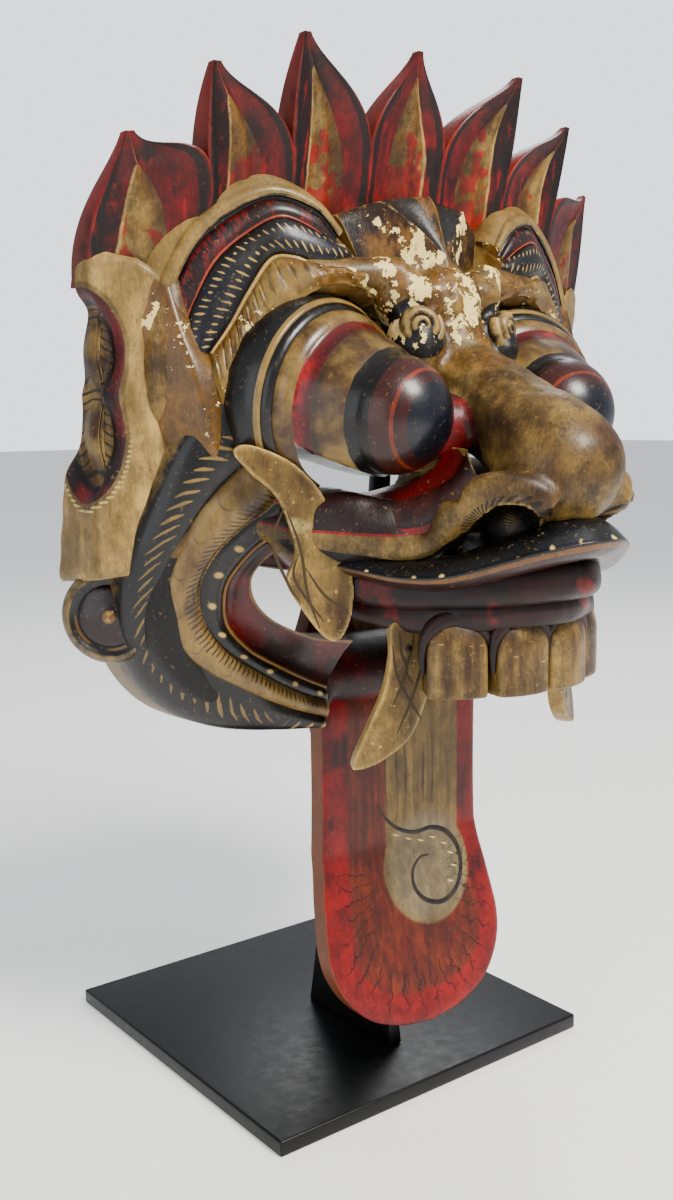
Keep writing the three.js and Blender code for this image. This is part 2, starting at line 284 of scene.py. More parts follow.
def smooth_loop(points: Sequence[tuple[float, float]], per_span: int = 8,
                closed: bool = True) -> np.ndarray:
    """A smooth line through the points.

    Args:
        points: pairs of numbers.
        per_span: new points between two given ones.
        closed: whether the line returns to its start.
    Returns:
        The line's points.
    """
    knots = np.array(points, float)
    if closed:
        ring = np.vstack([knots[-1], knots, knots[0], knots[1]])
    else:
        ring = np.vstack([2 * knots[0] - knots[1], knots, 2 * knots[-1] - knots[-2]])
    line = []
    for a, b, c, d in zip(ring, ring[1:], ring[2:], ring[3:]):
        for t in np.linspace(0, 1, per_span, endpoint=False):
            square, cube = 2 * a - 5 * b + 4 * c - d, 3 * b - a - 3 * c + d
            line.append(0.5 * (2 * b + (c - a) * t + square * t**2 + cube * t**3))
    if not closed:
        line.append(knots[-1])
    return np.array(line)


def bezier(a: Sequence[float], b: Sequence[float], c: Sequence[float], d: Sequence[float],
           count: int = 14) -> list:
    """A cubic curve without its last point.

    Args:
        a: its start.
        b: its first handle.
        c: its second handle.
        d: its end.
        count: how many points it has.
    Returns:
        The points.
    """
    t = np.linspace(0, 1, count, endpoint=False)[:, None]
    a, b, c, d = (np.array(p, float) for p in (a, b, c, d))
    return list((1 - t) ** 3 * a + 3 * t * (1 - t) ** 2 * b + 3 * t**2 * (1 - t) * c + t**3 * d)


def gap(places: np.ndarray, line: np.ndarray) -> np.ndarray:
    """How far places lie from a broken line.

    Args:
        places: coordinates in the last axis.
        line: the line's points.
    Returns:
        The distances.
    """
    nearest = np.full(places.shape[:-1], np.inf)
    for a, c in zip(line, line[1:]):
        span, off = c - a, places - a
        share = np.clip((off @ span) / (span @ span + 1e-9), 0, 1)
        nearest = np.minimum(nearest, np.linalg.norm(off - share[..., None] * span, axis=-1))
    return nearest


def reach_of(line: np.ndarray) -> np.ndarray:
    """The length of a line up to each of its points."""
    return np.concatenate([[0], np.cumsum(np.linalg.norm(np.diff(line, axis=0), axis=1))])


def evenly(points: Sequence[Point], per_span: int, rows: int) -> tuple[np.ndarray, np.ndarray]:
    """Evenly spread stations on a smooth line.

    Args:
        points: the line's points.
        per_span: samples between two of them.
        rows: how many equal steps the line is cut into.
    Returns:
        The stations' places, and their distances from the line's start.
    """
    fine = smooth_loop(points, per_span, closed=False)
    reach = reach_of(fine)
    even = np.linspace(0, reach[-1], rows + 1)
    return np.stack([np.interp(even, reach, fine[:, k]) for k in range(3)], axis=1), even


def brushed(points: Sequence[tuple]) -> tuple[np.ndarray, np.ndarray, np.ndarray]:
    """A brush line in a plane.

    Args:
        points: the line's points.
    Returns:
        Its places, the unit steps to its side, and the shares of its length.
    """
    path = smooth_loop(points, 10, closed=False)
    way = np.gradient(path, axis=0)
    way /= np.linalg.norm(way, axis=1, keepdims=True)
    return path, np.stack([-way[:, 1], way[:, 0]], axis=1), np.linspace(0, 1, len(path))


# ------------------------------------------------------------------------------------------ lofted carving
def lofted(guides: Sequence[Sequence[Point]], rows: int, across: int, swell: Sequence[float]) -> tuple:
    """A carved face that runs between guide lines, each lane swelling or sinking between its two lines.

    Args:
        guides: the guide lines, each a list of points from the same end.
        rows: faces along the lines.
        across: faces across each lane.
        swell: how far the middle of each lane stands proud, in millimetres.
    Returns:
        The points as rows by columns, and their lane coordinates: millimetres along, and lanes across.
    """
    stack = np.array([evenly(guide, 12, rows)[0] for guide in guides])
    parts, lanes = [], []
    for i in range(len(guides) - 1):
        last = i == len(guides) - 2
        t = np.linspace(0, 1, across + 1)[: None if last else -1]
        parts.append(stack[i][:, None] * (1 - t)[None, :, None] + stack[i + 1][:, None] * t[None, :, None])
        lanes.append(i + t)
    face = np.concatenate(parts, axis=1)
    lane = np.concatenate(lanes)
    out = outward(face)
    share = lane - np.minimum(np.floor(lane), len(guides) - 2)
    belly = np.sqrt(np.clip(np.sin(np.pi * share), 0, 1))
    height = np.array(swell)[np.minimum(lane.astype(int), len(guides) - 2)] * belly
    face = face + out * height[None, :, None]
    run = reach_of(face[:, face.shape[1] // 2])
    return face, np.stack(np.meshgrid(run, lane, indexing="ij"), axis=2)


def outward(face: np.ndarray) -> np.ndarray:
    """The unit normals of a carved face.

    Args:
        face: its points, rows by columns by 3.
    Returns:
        The normals, on its forward and outer side.
    """
    du = np.gradient(face, axis=0)
    dv = np.gradient(face, axis=1)
    out = np.cross(du, dv)
    out /= np.linalg.norm(out, axis=2, keepdims=True) + 1e-9
    away = np.array([0.35, -1.0, 0.0])
    if (out @ away).mean() < 0:
        out = -out
    return out


SIDE_LANE = 9.0


def skin(name: str, loops: np.ndarray, lanes: np.ndarray, front: int,
         round_trip: bool = False) -> bpy.types.Object:
    """A closed piece from rings of points, with its lane coordinates as a UV map called lane.

    Args:
        name: the piece's name.
        loops: rings by points by 3, in millimetres.
        lanes: the lane coordinates of those points.
        front: how many of each ring's points lie on the carved face; the rest get SIDE_LANE across.
        round_trip: whether the along coordinate runs round the ring, from 0 to 100.
    Returns:
        The piece.
    """
    rings, count = loops.shape[:2]
    faces, coordinates = [], []
    scaled = lanes * np.array([0.01, 1.0])
    for i in range(rings - 1):
        for j in range(count):
            k = (j + 1) % count
            corners = ((i, j), (i, k), (i + 1, k), (i + 1, j))
            faces.append([a * count + b for a, b in corners])
            for a, b in corners:
                u, v = scaled[a, b]
                if round_trip and k == 0 and b == 0:
                    u += 1.0
                coordinates.append((u, SIDE_LANE if j >= front - 1 and not round_trip else v))
    for ring, order in ((0, range(count)), (rings - 1, reversed(range(count)))):
        faces.append([ring * count + j for j in order])
        coordinates += [(scaled[ring, 0, 0], scaled[ring, 0, 1] if round_trip else SIDE_LANE)] * count
    piece = Workshop.laid(name, loops.reshape(-1, 3), faces)
    layer = piece.data.uv_layers.new(name="lane")
    layer.data.foreach_set("uv", np.array(coordinates).ravel())
    return Workshop.face_out(piece)


def backed(name: str, face: np.ndarray, lanes: np.ndarray, depth: float, pull: float = 0.0,
           taper: float = 0.0) -> bpy.types.Object:
    """A carved face given a body behind it.

    Args:
        name: the piece's name.
        face: its points, rows by columns by 3.
        lanes: their lane coordinates.
        depth: how far the body goes back, along y.
        pull: how far the back's edges are drawn towards the middle of the face.
        taper: the share of the depth that is lost by the last row.
    Returns:
        The piece.
    """
    first, last = face[:, :1], face[:, -1:]
    span = last - first
    span = span / (np.linalg.norm(span, axis=2, keepdims=True) + 1e-9)
    back = np.array([0.0, depth, 0.0]) * (1 - taper * np.linspace(0, 1, len(face)) ** 2)[:, None, None]
    ring = np.concatenate([face, last + back - span * pull, first + back + span * pull], axis=1)
    uv = np.concatenate([lanes, lanes[:, -1:], lanes[:, :1]], axis=1)
    return skin(name, ring, uv, face.shape[1])


def spun(name: str, profile: Sequence[Point], at: Point, towards: Point,
         steps: int = 96) -> bpy.types.Object:
    """A turned piece with its lanes: the turn from 0 to 1 along, and the profile's own mark across.

    Args:
        name: the piece's name.
        profile: radius, height and lane mark of each station.
        at: the foot of the axis.
        towards: a point that the axis passes through.
        steps: faces round.
    Returns:
        The piece.
    """
    axis = np.array(towards, float) - np.array(at, float)
    axis /= np.linalg.norm(axis)
    side = np.cross(axis, (0.0, 0.0, 1.0))
    side /= np.linalg.norm(side)
    up = np.cross(side, axis)
    angle = np.linspace(0, math.tau, steps, endpoint=False)
    spokes = np.cos(angle)[:, None] * side + np.sin(angle)[:, None] * up
    reach, rise, marks = np.array(profile, float).T
    rings = np.array(at) + rise[:, None, None] * axis + reach[:, None, None] * spokes
    mark, turn = np.meshgrid(marks, angle / math.tau * 100, indexing="ij")
    return skin(name, rings, np.stack([turn, mark], axis=2), steps, round_trip=True)


def swept(name: str, path: Sequence[Point], section: Sequence[tuple[float, float]], thin: Sequence[float],
          rows: int = 90) -> bpy.types.Object:
    """A moulding along a path: its section is given outward and upward from the path.

    Args:
        name: the piece's name.
        path: the path's points.
        section: outward and upward distances, one after another round the moulding.
        thin: factors on the section at evenly spread stations.
        rows: faces along the path.
    Returns:
        The piece, its lanes running round the section by its points.
    """
    line, even = evenly(path, 14, rows)
    way = np.gradient(line, axis=0)
    out = np.stack([way[:, 1], -way[:, 0], np.zeros(len(way))], axis=1)
    out /= np.linalg.norm(out, axis=1, keepdims=True)
    if (out * (line - np.array([0, 0, line[:, 2].mean()]))).sum() < 0:
        out = -out
    ring = smooth_loop(section, 6)
    size = np.interp(np.linspace(0, 1, rows + 1), np.linspace(0, 1, len(thin)), thin)
    offset = ring[None, :, :1] * out[:, None] + ring[None, :, 1:] * np.array([0, 0, 1.0])
    loops = line[:, None] + size[:, None, None] * offset
    mark = np.linspace(0, len(section), len(ring), endpoint=False)
    return skin(name, loops, np.stack(np.meshgrid(even, mark, indexing="ij"), axis=2), len(ring))


def opposite(piece: bpy.types.Object) -> bpy.types.Object:
    """The right-hand copy of a left-hand piece."""
    other = Workshop.mirror(piece)
    other.name = other.data.name = piece.name.replace("left", "right")
    return other


# ------------------------------------------------------------------------------------------------- paint
def ink(red: int, green: int, blue: int) -> tuple[float, float, float, float]:
    """A paint given as display values from 0 to 255, deepened for the bright studio."""
    shares = [c / 255 for c in (red, green, blue)]
    linear = [c / 12.92 if c <= 0.04 else ((c + 0.055) / 1.055) ** 2.4 for c in shares]
    return (*[value**PAINT_DEPTH for value in linear], 1.0)


class Pigment(Enum):
    """The mask's paints."""

    BONE = ink(172, 150, 100)
    BONE_PALE = ink(204, 180, 128)
    BONE_DARK = ink(112, 84, 46)
    OCHRE = ink(154, 122, 58)
    UMBER = ink(52, 36, 20)
    CRIMSON = ink(140, 16, 26)
    SCARLET = ink(182, 26, 30)
    VERMILION = ink(158, 58, 36)
    MAROON = ink(74, 18, 22)
    SOOT = ink(13, 16, 17)
    PINE = ink(27, 38, 38)
    NAVY = ink(20, 46, 66)
    CREAM = ink(234, 218, 166)
    SALMON = ink(176, 104, 80)
    RUST = ink(160, 88, 44)
    STEEL = ink(20, 23, 25)


@dataclass(frozen=True)
class Varnish:
    """How a painted surface shines and how rough its paint lies."""

    rough: float = 0.45
    coat: float = 0.0
    relief: float = 0.5
    # how much soiling, and how much painted shade in the hollows, the ageing lays on
    dirt: float = 0.6
    wear: float = 0.5


class Brush:
    """Lays paint on one material or one shader group, layer over layer."""

    def __init__(self, tree: bpy.types.NodeTree) -> None:
        """Starts painting in a node tree."""
        self.tree = tree

    def node(self, kind: str, **settings: object) -> bpy.types.Node:
        """Adds a node with its settings."""
        made = self.tree.nodes.new(kind)
        for key, value in settings.items():
            setattr(made, key, value)
        return made

    def feed(self, socket: bpy.types.NodeSocket, value: object) -> None:
        """Puts a value, a paint or another socket into a socket."""
        if isinstance(value, bpy.types.NodeSocket):
            self.tree.links.new(value, socket)
        elif isinstance(value, Pigment):
            socket.default_value = value.value
        else:
            socket.default_value = value

    def number(self, operation: str, a: object, b: object = 0.0, c: object = 0.0,
               clamp: bool = False) -> object:
        """A Math node's result."""
        made = self.node("ShaderNodeMath", operation=operation, use_clamp=clamp)
        for socket, value in zip(made.inputs, (a, b, c)):
            self.feed(socket, value)
        return made.outputs[0]

    def times(self, a: object, b: object) -> object:
        """The product of two values."""
        return self.number("MULTIPLY", a, b)

    def minus(self, a: object, b: object) -> object:
        """One value less another."""
        return self.number("SUBTRACT", a, b)

    def rest(self, a: object) -> object:
        """What a mask leaves out."""
        return self.number("SUBTRACT", 1.0, a)

    def blend(self, under: object, over: object, mask: object, strength: object = None) -> object:
        """One paint over another where a mask is 1, as strongly as asked."""
        made = self.node("ShaderNodeMix", data_type="RGBA")
        self.feed(made.inputs[0], mask if strength is None else self.times(mask, strength))
        self.feed(made.inputs[6], under)
        self.feed(made.inputs[7], over)
        return made.outputs[2]

    def step(self, value: object, edge: float, soft: float) -> object:
        """A mask that goes from 0 to 1 where a value passes an edge."""
        made = self.node("ShaderNodeMapRange", interpolation_type="SMOOTHSTEP")
        self.feed(made.inputs[0], value)
        self.feed(made.inputs[1], edge - soft / 2)
        self.feed(made.inputs[2], edge + soft / 2)
        return made.outputs[0]

    def band(self, value: object, low: float, high: float, soft: float) -> object:
        """A mask that is 1 where a value lies between two edges."""
        below = self.step(value, high, soft)
        return self.number("SUBTRACT", self.step(value, low, soft), below, clamp=True)

    def noise(self, place: object, scale: float, detail: float = 3.0, rough: float = 0.55) -> object:
        """Cloudy noise around one half."""
        made = self.node("ShaderNodeTexNoise")
        self.feed(made.inputs["Vector"], place)
        self.feed(made.inputs["Scale"], scale)
        self.feed(made.inputs["Detail"], detail)
        self.feed(made.inputs["Roughness"], rough)
        return made.outputs[0]

    def stretch(self, place: object, scale: Point) -> object:
        """A place made longer or shorter along each axis."""
        made = self.node("ShaderNodeMapping")
        self.feed(made.inputs["Vector"], place)
        made.inputs["Scale"].default_value = scale
        return made.outputs[0]

    def ramp(self, value: object, stops: Sequence[tuple[float, object]]) -> object:
        """Paint chosen by a value: each stop's paint starts at its place."""
        made = self.node("ShaderNodeValToRGB")
        made.color_ramp.interpolation = "CONSTANT"
        marks = made.color_ramp.elements
        while len(marks) < len(stops):
            marks.new(0.5)
        for mark, (at, paint) in zip(marks, stops):
            mark.position = at
            mark.color = paint.value if isinstance(paint, Pigment) else paint
        self.feed(made.inputs[0], value)
        return made.outputs[0]

    def group(self, tree: bpy.types.NodeTree, **values: object) -> bpy.types.Node:
        """Adds a shader group with its inputs set by name, spaces written as underscores."""
        made = self.node("ShaderNodeGroup", node_tree=tree)
        for key, value in values.items():
            self.feed(made.inputs[key.replace("_", " ")], value)
        return made


class Effects:
    """The effects that the finishes share, each a shader group built once."""

    def __init__(self) -> None:
        """Builds the groups."""
        self.ageing = self._ageing()
        self.flaking = self._flaking()
        self.dashes = self._dashes()
        self.dots = self._dots()

    @staticmethod
    def _start(name: str, inputs: Sequence[tuple], outputs: Sequence[tuple]) -> tuple:
        """A new group with its sockets.

        Args:
            name: the group's name.
            inputs: name, kind and default of each input.
            outputs: name and kind of each output.
        Returns:
            The group, a brush for it, its input node and its output node.
        """
        tree = bpy.data.node_groups.new(name, "ShaderNodeTree")
        for label, kind, default in inputs:
            socket = tree.interface.new_socket(label, in_out="INPUT", socket_type=f"NodeSocket{kind}")
            if default is not None:
                socket.default_value = default
        for label, kind in outputs:
            tree.interface.new_socket(label, in_out="OUTPUT", socket_type=f"NodeSocket{kind}")
        brush = Brush(tree)
        return tree, brush, brush.node("NodeGroupInput").outputs, brush.node("NodeGroupOutput").inputs

    def _ageing(self) -> bpy.types.NodeTree:
        """Handling, dust and painted shade in the hollows, worn edges, specks and brush marks over any
        paint.
        """
        tree, b, given, out = self._start("ageing",
                                          [("Place", "Vector", None),
                                           ("Colour", "Color", (0.5, 0.5, 0.5, 1)), ("Edge", "Float", 0.5),
                                           ("Dirt", "Float", 0.6), ("Wear", "Float", 0.5),
                                           ("Rough", "Float", 0.45), ("Grime", "Color", (0, 0, 0, 1)),
                                           ("Bare", "Color", (1, 1, 1, 1))],
                                           [("Colour", "Color"), ("Rough", "Float"), ("Height", "Float")])
        place = given["Place"]
        clouds = b.noise(place, 38.0, 4.0)
        blots = b.noise(place, 150.0, 5.0, 0.65)
        grain = b.noise(b.stretch(place, (900.0, 900.0, 160.0)), 1.0, 3.0)
        specks = b.noise(place, 900.0, 2.0)
        tone = b.number("MULTIPLY_ADD", clouds, 0.9, b.times(blots, 0.7))
        tone = b.number("MULTIPLY_ADD", grain, 0.35, tone)
        dull = b.times(b.step(tone, 0.95, 0.36), given["Dirt"])
        paint = b.blend(given["Colour"], given["Grime"], dull, 0.66)
        stains = b.step(b.noise(b.stretch(place, (1.0, 1.0, 0.55)), 95.0, 6.0, 0.72), 0.56, 0.10)
        paint = b.blend(paint, given["Grime"], stains, b.times(given["Dirt"], 0.42))
        # painted shade: hollows, where pointiness is low, darkened towards the dark soiling colour; stands
        # in for shadow in the crevices as well as dust
        hollow = b.times(b.rest(b.step(given["Edge"], 0.47, 0.07)), given["Dirt"])
        paint = b.blend(paint, given["Grime"], hollow, 0.85)
        pits = b.times(b.step(specks, 0.66, 0.05), b.times(given["Dirt"], 0.6))
        paint = b.blend(paint, given["Grime"], pits)
        ridge = b.step(b.number("MULTIPLY_ADD", b.minus(blots, 0.5), 0.10, given["Edge"]), 0.555, 0.04)
        chips = b.step(b.noise(place, 420.0, 4.0, 0.7), 0.64, 0.03)
        bare = b.times(b.number("MAXIMUM", ridge, b.times(chips, 0.5)), given["Wear"])
        paint = b.blend(paint, given["Bare"], bare, 0.8)
        b.feed(out["Colour"], paint)
        b.feed(out["Rough"], b.number("MULTIPLY_ADD", b.minus(blots, 0.5), 0.35, given["Rough"],
                                      clamp=True))
        lie = b.number("MULTIPLY_ADD", grain, 0.35, b.times(blots, 0.8))
        b.feed(out["Height"], b.minus(lie, b.times(pits, 0.4)))
        return tree

    def _flaking(self) -> bpy.types.NodeTree:
        """Patches where the paint has come off the cream ground, with crisp lifted borders."""
        tree, b, given, out = self._start("flaking",
                                          [("Place", "Vector", None), ("Amount", "Float", 0.3),
                                           ("Scale", "Float", 60.0)],
                                           [("Mask", "Float"), ("Border", "Float"), ("Height", "Float")])
        size = given["Scale"]
        warp = b.noise(given["Place"], b.times(size, 4.0), 3.0)
        field = b.noise(given["Place"], size, 5.0, 0.68)
        level = b.number("MULTIPLY_ADD", b.minus(warp, 0.5), 0.16, field)
        level = b.number("ADD", level, b.minus(given["Amount"], 0.28))
        mask = b.step(level, 0.62, 0.012)
        b.feed(out["Mask"], mask)
        b.feed(out["Border"], b.number("SUBTRACT", b.step(level, 0.60, 0.02), mask, clamp=True))
        b.feed(out["Height"], b.times(mask, -1.0))
        return tree

    def _dashes(self) -> bpy.types.NodeTree:
        """Brushed dashes side by side along a lane, each a little different."""
        tree, b, given, out = self._start("dashes",
                                          [("Along", "Float", 0.0), ("Across", "Float", 0.0),
                                           ("Pitch", "Float", 0.03), ("Width", "Float", 0.3),
                                           ("Slant", "Float", 0.0), ("From", "Float", 0.0),
                                           ("To", "Float", 1.0), ("Wobble", "Float", 0.2)],
                                           [("Mask", "Float")])
        shift = b.times(given["Across"], given["Slant"])
        turn = b.number("DIVIDE", b.number("ADD", given["Along"], shift), given["Pitch"])
        spot = b.node("ShaderNodeCombineXYZ")
        b.feed(spot.inputs[0], b.times(turn, 0.7))
        b.feed(spot.inputs[1], b.times(given["Across"], 1.5))
        sway = b.times(b.minus(b.noise(spot.outputs[0], 1.0, 2.0), 0.5), given["Wobble"])
        turn = b.number("ADD", turn, sway)
        each = b.node("ShaderNodeTexWhiteNoise", noise_dimensions="1D")
        b.feed(each.inputs["W"], b.number("FLOOR", turn))
        luck = each.outputs["Value"]
        off = b.number("ABSOLUTE", b.minus(b.number("FRACT", turn), 0.5))
        low = b.number("MULTIPLY_ADD", luck, 0.12, given["From"])
        high = b.number("MULTIPLY_ADD", luck, -0.14, given["To"])
        inside = b.times(b.number("GREATER_THAN", given["Across"], low),
                         b.number("LESS_THAN", given["Across"], high))
        share = b.number("DIVIDE", b.minus(given["Across"], low), b.minus(high, low))
        belly = b.number("SQRT", b.number("SINE", b.times(share, math.pi), clamp=True))
        reach = b.times(b.times(given["Width"], 0.5), belly)
        edge = b.number("MULTIPLY", b.minus(reach, off), 16.0, clamp=True)
        b.feed(out["Mask"], b.times(edge, inside))
        return tree

    def _dots(self) -> bpy.types.NodeTree:
        """A row of painted dots along a lane."""
        tree, b, given, out = self._start("dots",
                                          [("Along", "Float", 0.0), ("Across", "Float", 0.0),
                                           ("Pitch", "Float", 0.1), ("Centre", "Float", 0.5),
                                           ("Reach", "Float", 0.2), ("Ratio", "Float", 1.0)],
                                           [("Mask", "Float")])
        turn = b.number("DIVIDE", given["Along"], given["Pitch"])
        x = b.minus(b.number("FRACT", turn), 0.5)
        y = b.times(b.minus(given["Across"], given["Centre"]), given["Ratio"])
        far = b.number("SQRT", b.number("ADD", b.times(x, x), b.times(y, y)))
        b.feed(out["Mask"], b.number("MULTIPLY", b.minus(given["Reach"], far), 14.0, clamp=True))
        return tree


class Finish:
    """One material: its paint is laid on by calls and closed with ageing, gloss and relief."""

    def __init__(self, name: str, effects: Effects, varnish: Varnish) -> None:
        """Starts the material.

        Args:
            name: the material's name.
            effects: the shared shader groups.
            varnish: how the surface shines.
        """
        self.material = bpy.data.materials.new(name)
        self.material.use_nodes = True
        self.b = Brush(self.material.node_tree)
        self.shader = self.material.node_tree.nodes["Principled BSDF"]
        self.effects = effects
        self.varnish = varnish
        self.place = self.b.node("ShaderNodeTexCoord").outputs["Object"]
        lane = self.b.node("ShaderNodeUVMap", uv_map="lane")
        split = self.b.node("ShaderNodeSeparateXYZ")
        self.b.feed(split.inputs[0], lane.outputs[0])
        self.along, self.across = split.outputs[0], split.outputs[1]
        self.drift = self.b.number("SUBTRACT", self.b.noise(self.place, 130.0, 2.0), 0.5)

    def wavy(self, value: object, amount: float) -> object:
        """A value made a little uneven, as a painted line is."""
        return self.b.number("MULTIPLY_ADD", self.drift, amount, value)

    def cloud(self, scale: float, detail: float, edge: float, soft: float) -> object:
        """A mask of cloudy patches."""
        return self.b.step(self.b.noise(self.place, scale, detail), edge, soft)

    def streak(self, scale: Point, detail: float, edge: float, soft: float) -> object:
        """A mask of patches drawn out along the axes of smaller scale."""
        return self.b.step(self.b.noise(self.b.stretch(self.place, scale), 1.0, detail), edge, soft)

    def dashes(self, **values: object) -> object:
        """The mask of a row of brushed dashes."""
        return self.b.group(self.effects.dashes, **values).outputs[0]

    def dots(self, **values: object) -> object:
        """The mask of a row of painted dots."""
        return self.b.group(self.effects.dots, **values).outputs[0]

    def mark(self, name: str) -> object:
        """A mask carried by the mesh under that name."""
        return self.b.node("ShaderNodeAttribute", attribute_name=name).outputs["Fac"]

    def close(self, colour: object, flakes: object = None, grime_and_shade: object = Pigment.UMBER,
              bare: object = Pigment.BONE_PALE, flake_scale: float = 60.0) -> bpy.types.Material:
        """Ages the paint and joins it to the shader.

        Args:
            colour: the fresh paint.
            flakes: how much ground shows, from 0 to 1, or None.
            grime_and_shade: the colour of soiling and of the painted shade in hollows.
            bare: the colour under worn edges.
            flake_scale: how fine the flaked patches are.
        Returns:
            The material.
        """
        b, v = self.b, self.varnish
        edge = b.node("ShaderNodeNewGeometry").outputs["Pointiness"]
        aged = b.group(self.effects.ageing, Place=self.place, Colour=colour, Edge=edge, Dirt=v.dirt,
                       Wear=v.wear, Rough=v.rough, Grime=grime_and_shade, Bare=bare)
        paint, height, rough = aged.outputs["Colour"], aged.outputs["Height"], aged.outputs["Rough"]
        if flakes is not None:
            lost = b.group(self.effects.flaking, Place=self.place, Amount=flakes, Scale=flake_scale)
            paint = b.blend(paint, Pigment.UMBER, lost.outputs["Border"], 0.7)
            paint = b.blend(paint, Pigment.CREAM, lost.outputs["Mask"])
            height = b.number("ADD", height, lost.outputs["Height"])
            rough = b.number("MAXIMUM", rough, b.times(lost.outputs["Mask"], 0.75))
        bump = b.node("ShaderNodeBump")
        bump.inputs["Strength"].default_value = v.relief
        bump.inputs["Distance"].default_value = 0.0006
        b.feed(bump.inputs["Height"], height)
        b.feed(self.shader.inputs["Base Color"], paint)
        b.feed(self.shader.inputs["Roughness"], rough)
        b.feed(self.shader.inputs["Normal"], bump.outputs[0])
        self.shader.inputs["Specular IOR Level"].default_value = 0.26
        if v.coat:
            self.shader.inputs["Coat Weight"].default_value = v.coat
            self.shader.inputs["Coat Roughness"].default_value = 0.22
        return self.material


BACK_Y, BACK_Z, BACK_LEAN = -4.0, 255.0, 0.213
HOLLOW = ((0, -10, 318), (108, 82, 104))
SOCKET = ((46, -66, 316), (44, 42, 30))


def sawn(z: np.ndarray) -> np.ndarray:
    """Where the sawn back lies, along y, at a height."""
    return BACK_Y - BACK_LEAN * (z - BACK_Z)


def eye_slit() -> bpy.types.Object:
    """The cutting shape of the left eye's slit."""
    outline = smooth_loop([(90, 327), (83, 316), (68, 307), (52, 303), (38, 305), (33, 314), (46, 312),
                           (62, 314), (80, 321)], 5)
    return Workshop.reshape(Workshop.plank(outline, 90, 3.0), lambda p: p + np.array([0, -118, 0]))


# ------------------------------------------------------------------------------------------------ pieces
@dataclass
class Assembly:
    """What every sub-assembly shares: the effects and the list of its finished pieces."""

    effects: Effects
    pieces: list = field(default_factory=list)

    def done(self, piece: bpy.types.Object, finish: bpy.types.Material, slot: str = "painted_wood",
             angle: float = 50.0, replaces: Sequence[str] = ()) -> bpy.types.Object:
        """Dresses a piece, lets it ride on the root and reports it.

        Args:
            piece: the piece.
            finish: its material.
            slot: the record's material slot.
            angle: edges flatter than this many degrees look smooth.
            replaces: the solids that the piece stands for.
        Returns:
            The piece.
        """
        piece.data.materials.clear()
        piece.data.materials.append(finish)
        Workshop.take(piece)
        bpy.ops.object.shade_smooth_by_angle(angle=math.radians(angle))
        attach(piece, "root")
        if replaces:
            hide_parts(*replaces)
        self.pieces.append(piece)
        LOG.info("%s: %d faces", piece.name, len(piece.data.polygons))
        return piece

    def finish(self, name: str, **shine: float) -> Finish:
        """Starts a finish of that name, its varnish given by name."""
        return Finish(name, self.effects, Varnish(**shine))

    def pair(self, left: bpy.types.Object, finish: bpy.types.Material, angle: float = 50.0,
             stands_for: str = "") -> None:
        """Copies a left-hand piece to the right and dresses both.

        Args:
            left: the left-hand piece.
            finish: the material of both.
            angle: edges flatter than this many degrees look smooth.
            stands_for: the kind of solid that each piece replaces, or nothing.
        """
        for piece, side in ((left, "left"), (opposite(left), "right")):
            self.done(piece, finish, angle=angle, replaces=[f"{stands_for}_{side}"] if stands_for else [])


@dataclass
class Stand(Assembly):
    """Square steel plate, profiled upright and the bent rod that carries the mask."""

    side: float = 200.0
    thick: float = 8.0
    gap: float = 0.3
    easing: float = 0.2
    rod: float = 5.5
    rod_top: float = 404.0
    hold: float = -53.0

    def steel(self) -> bpy.types.Material:
        """Satin black steel with dust and faint rubs."""
        finish = self.finish("black_steel", rough=0.38, relief=0.12, dirt=0.25, wear=0.12)
        b = finish.b
        dust = b.step(b.noise(finish.place, 520.0, 2.0, 0.7), 0.70, 0.02)
        paint = b.blend(Pigment.STEEL, ink(95, 98, 102), dust, 0.35)
        cloud = finish.cloud(14.0, 3.0, 0.5, 0.4)
        paint = b.blend(paint, ink(30, 33, 37), cloud, 0.35)
        return finish.close(paint, grime_and_shade=ink(34, 30, 28), bare=ink(70, 72, 76))

    def build(self) -> None:
        """Makes the plate, the upright and the rod."""
        steel = self.steel()
        Workshop.deselect()
        bpy.ops.mesh.primitive_cube_add(size=1)
        plate = bpy.context.object
        plate.name = plate.data.name = "stand_plate"
        plate.scale = (self.side * MM, self.side * MM, self.thick * MM)
        plate.location.z = self.thick / 2 * MM
        Workshop.settle(plate)
        Workshop.apply(plate, "BEVEL", width=1.2 * MM, segments=3)
        self.done(plate, steel, "black_steel", 30, ["stand_base"])
        foot = self.thick + self.gap
        outline = bezier((-64, foot), (-58, 50), (-46, 84), (-40, 120))
        outline += bezier((-40, 120), (-37, 140), (-35, 156), (-30, 172))
        outline += [*bezier((-30, 172), (-26, 182), (-22, 187), (-14, 190)), (-14, 190)]
        outline += bezier((12, 190), (12, 172), (-3, 158), (-4, 140))
        outline += [*bezier((-4, 140), (-6, 100), (-3, 60), (8, foot)), (8, foot)]
        half = self.thick / 2 - self.easing
        upright = Workshop.slab("stand_upright_plate", [(-half, y, z) for y, z in outline],
                                (2 * half, 0, 0))
        Workshop.apply(upright, "BEVEL", width=0.6 * MM, segments=2, limit_method="ANGLE")
        self.done(upright, steel, "black_steel", 30, ["stand_upright"])
        path = [(0, -1, 180), (0, -1, 205), (0, -4, 228), (0, -26, 256), (0, -47, 282), (0, self.hold, 308),
                (0, self.hold, 356), (0, self.hold, self.rod_top)]
        rod = Workshop.roll(path, [self.rod] * 2)
        rod.name = rod.data.name = "stand_rod"
        self.done(rod, steel, "black_steel", 40)


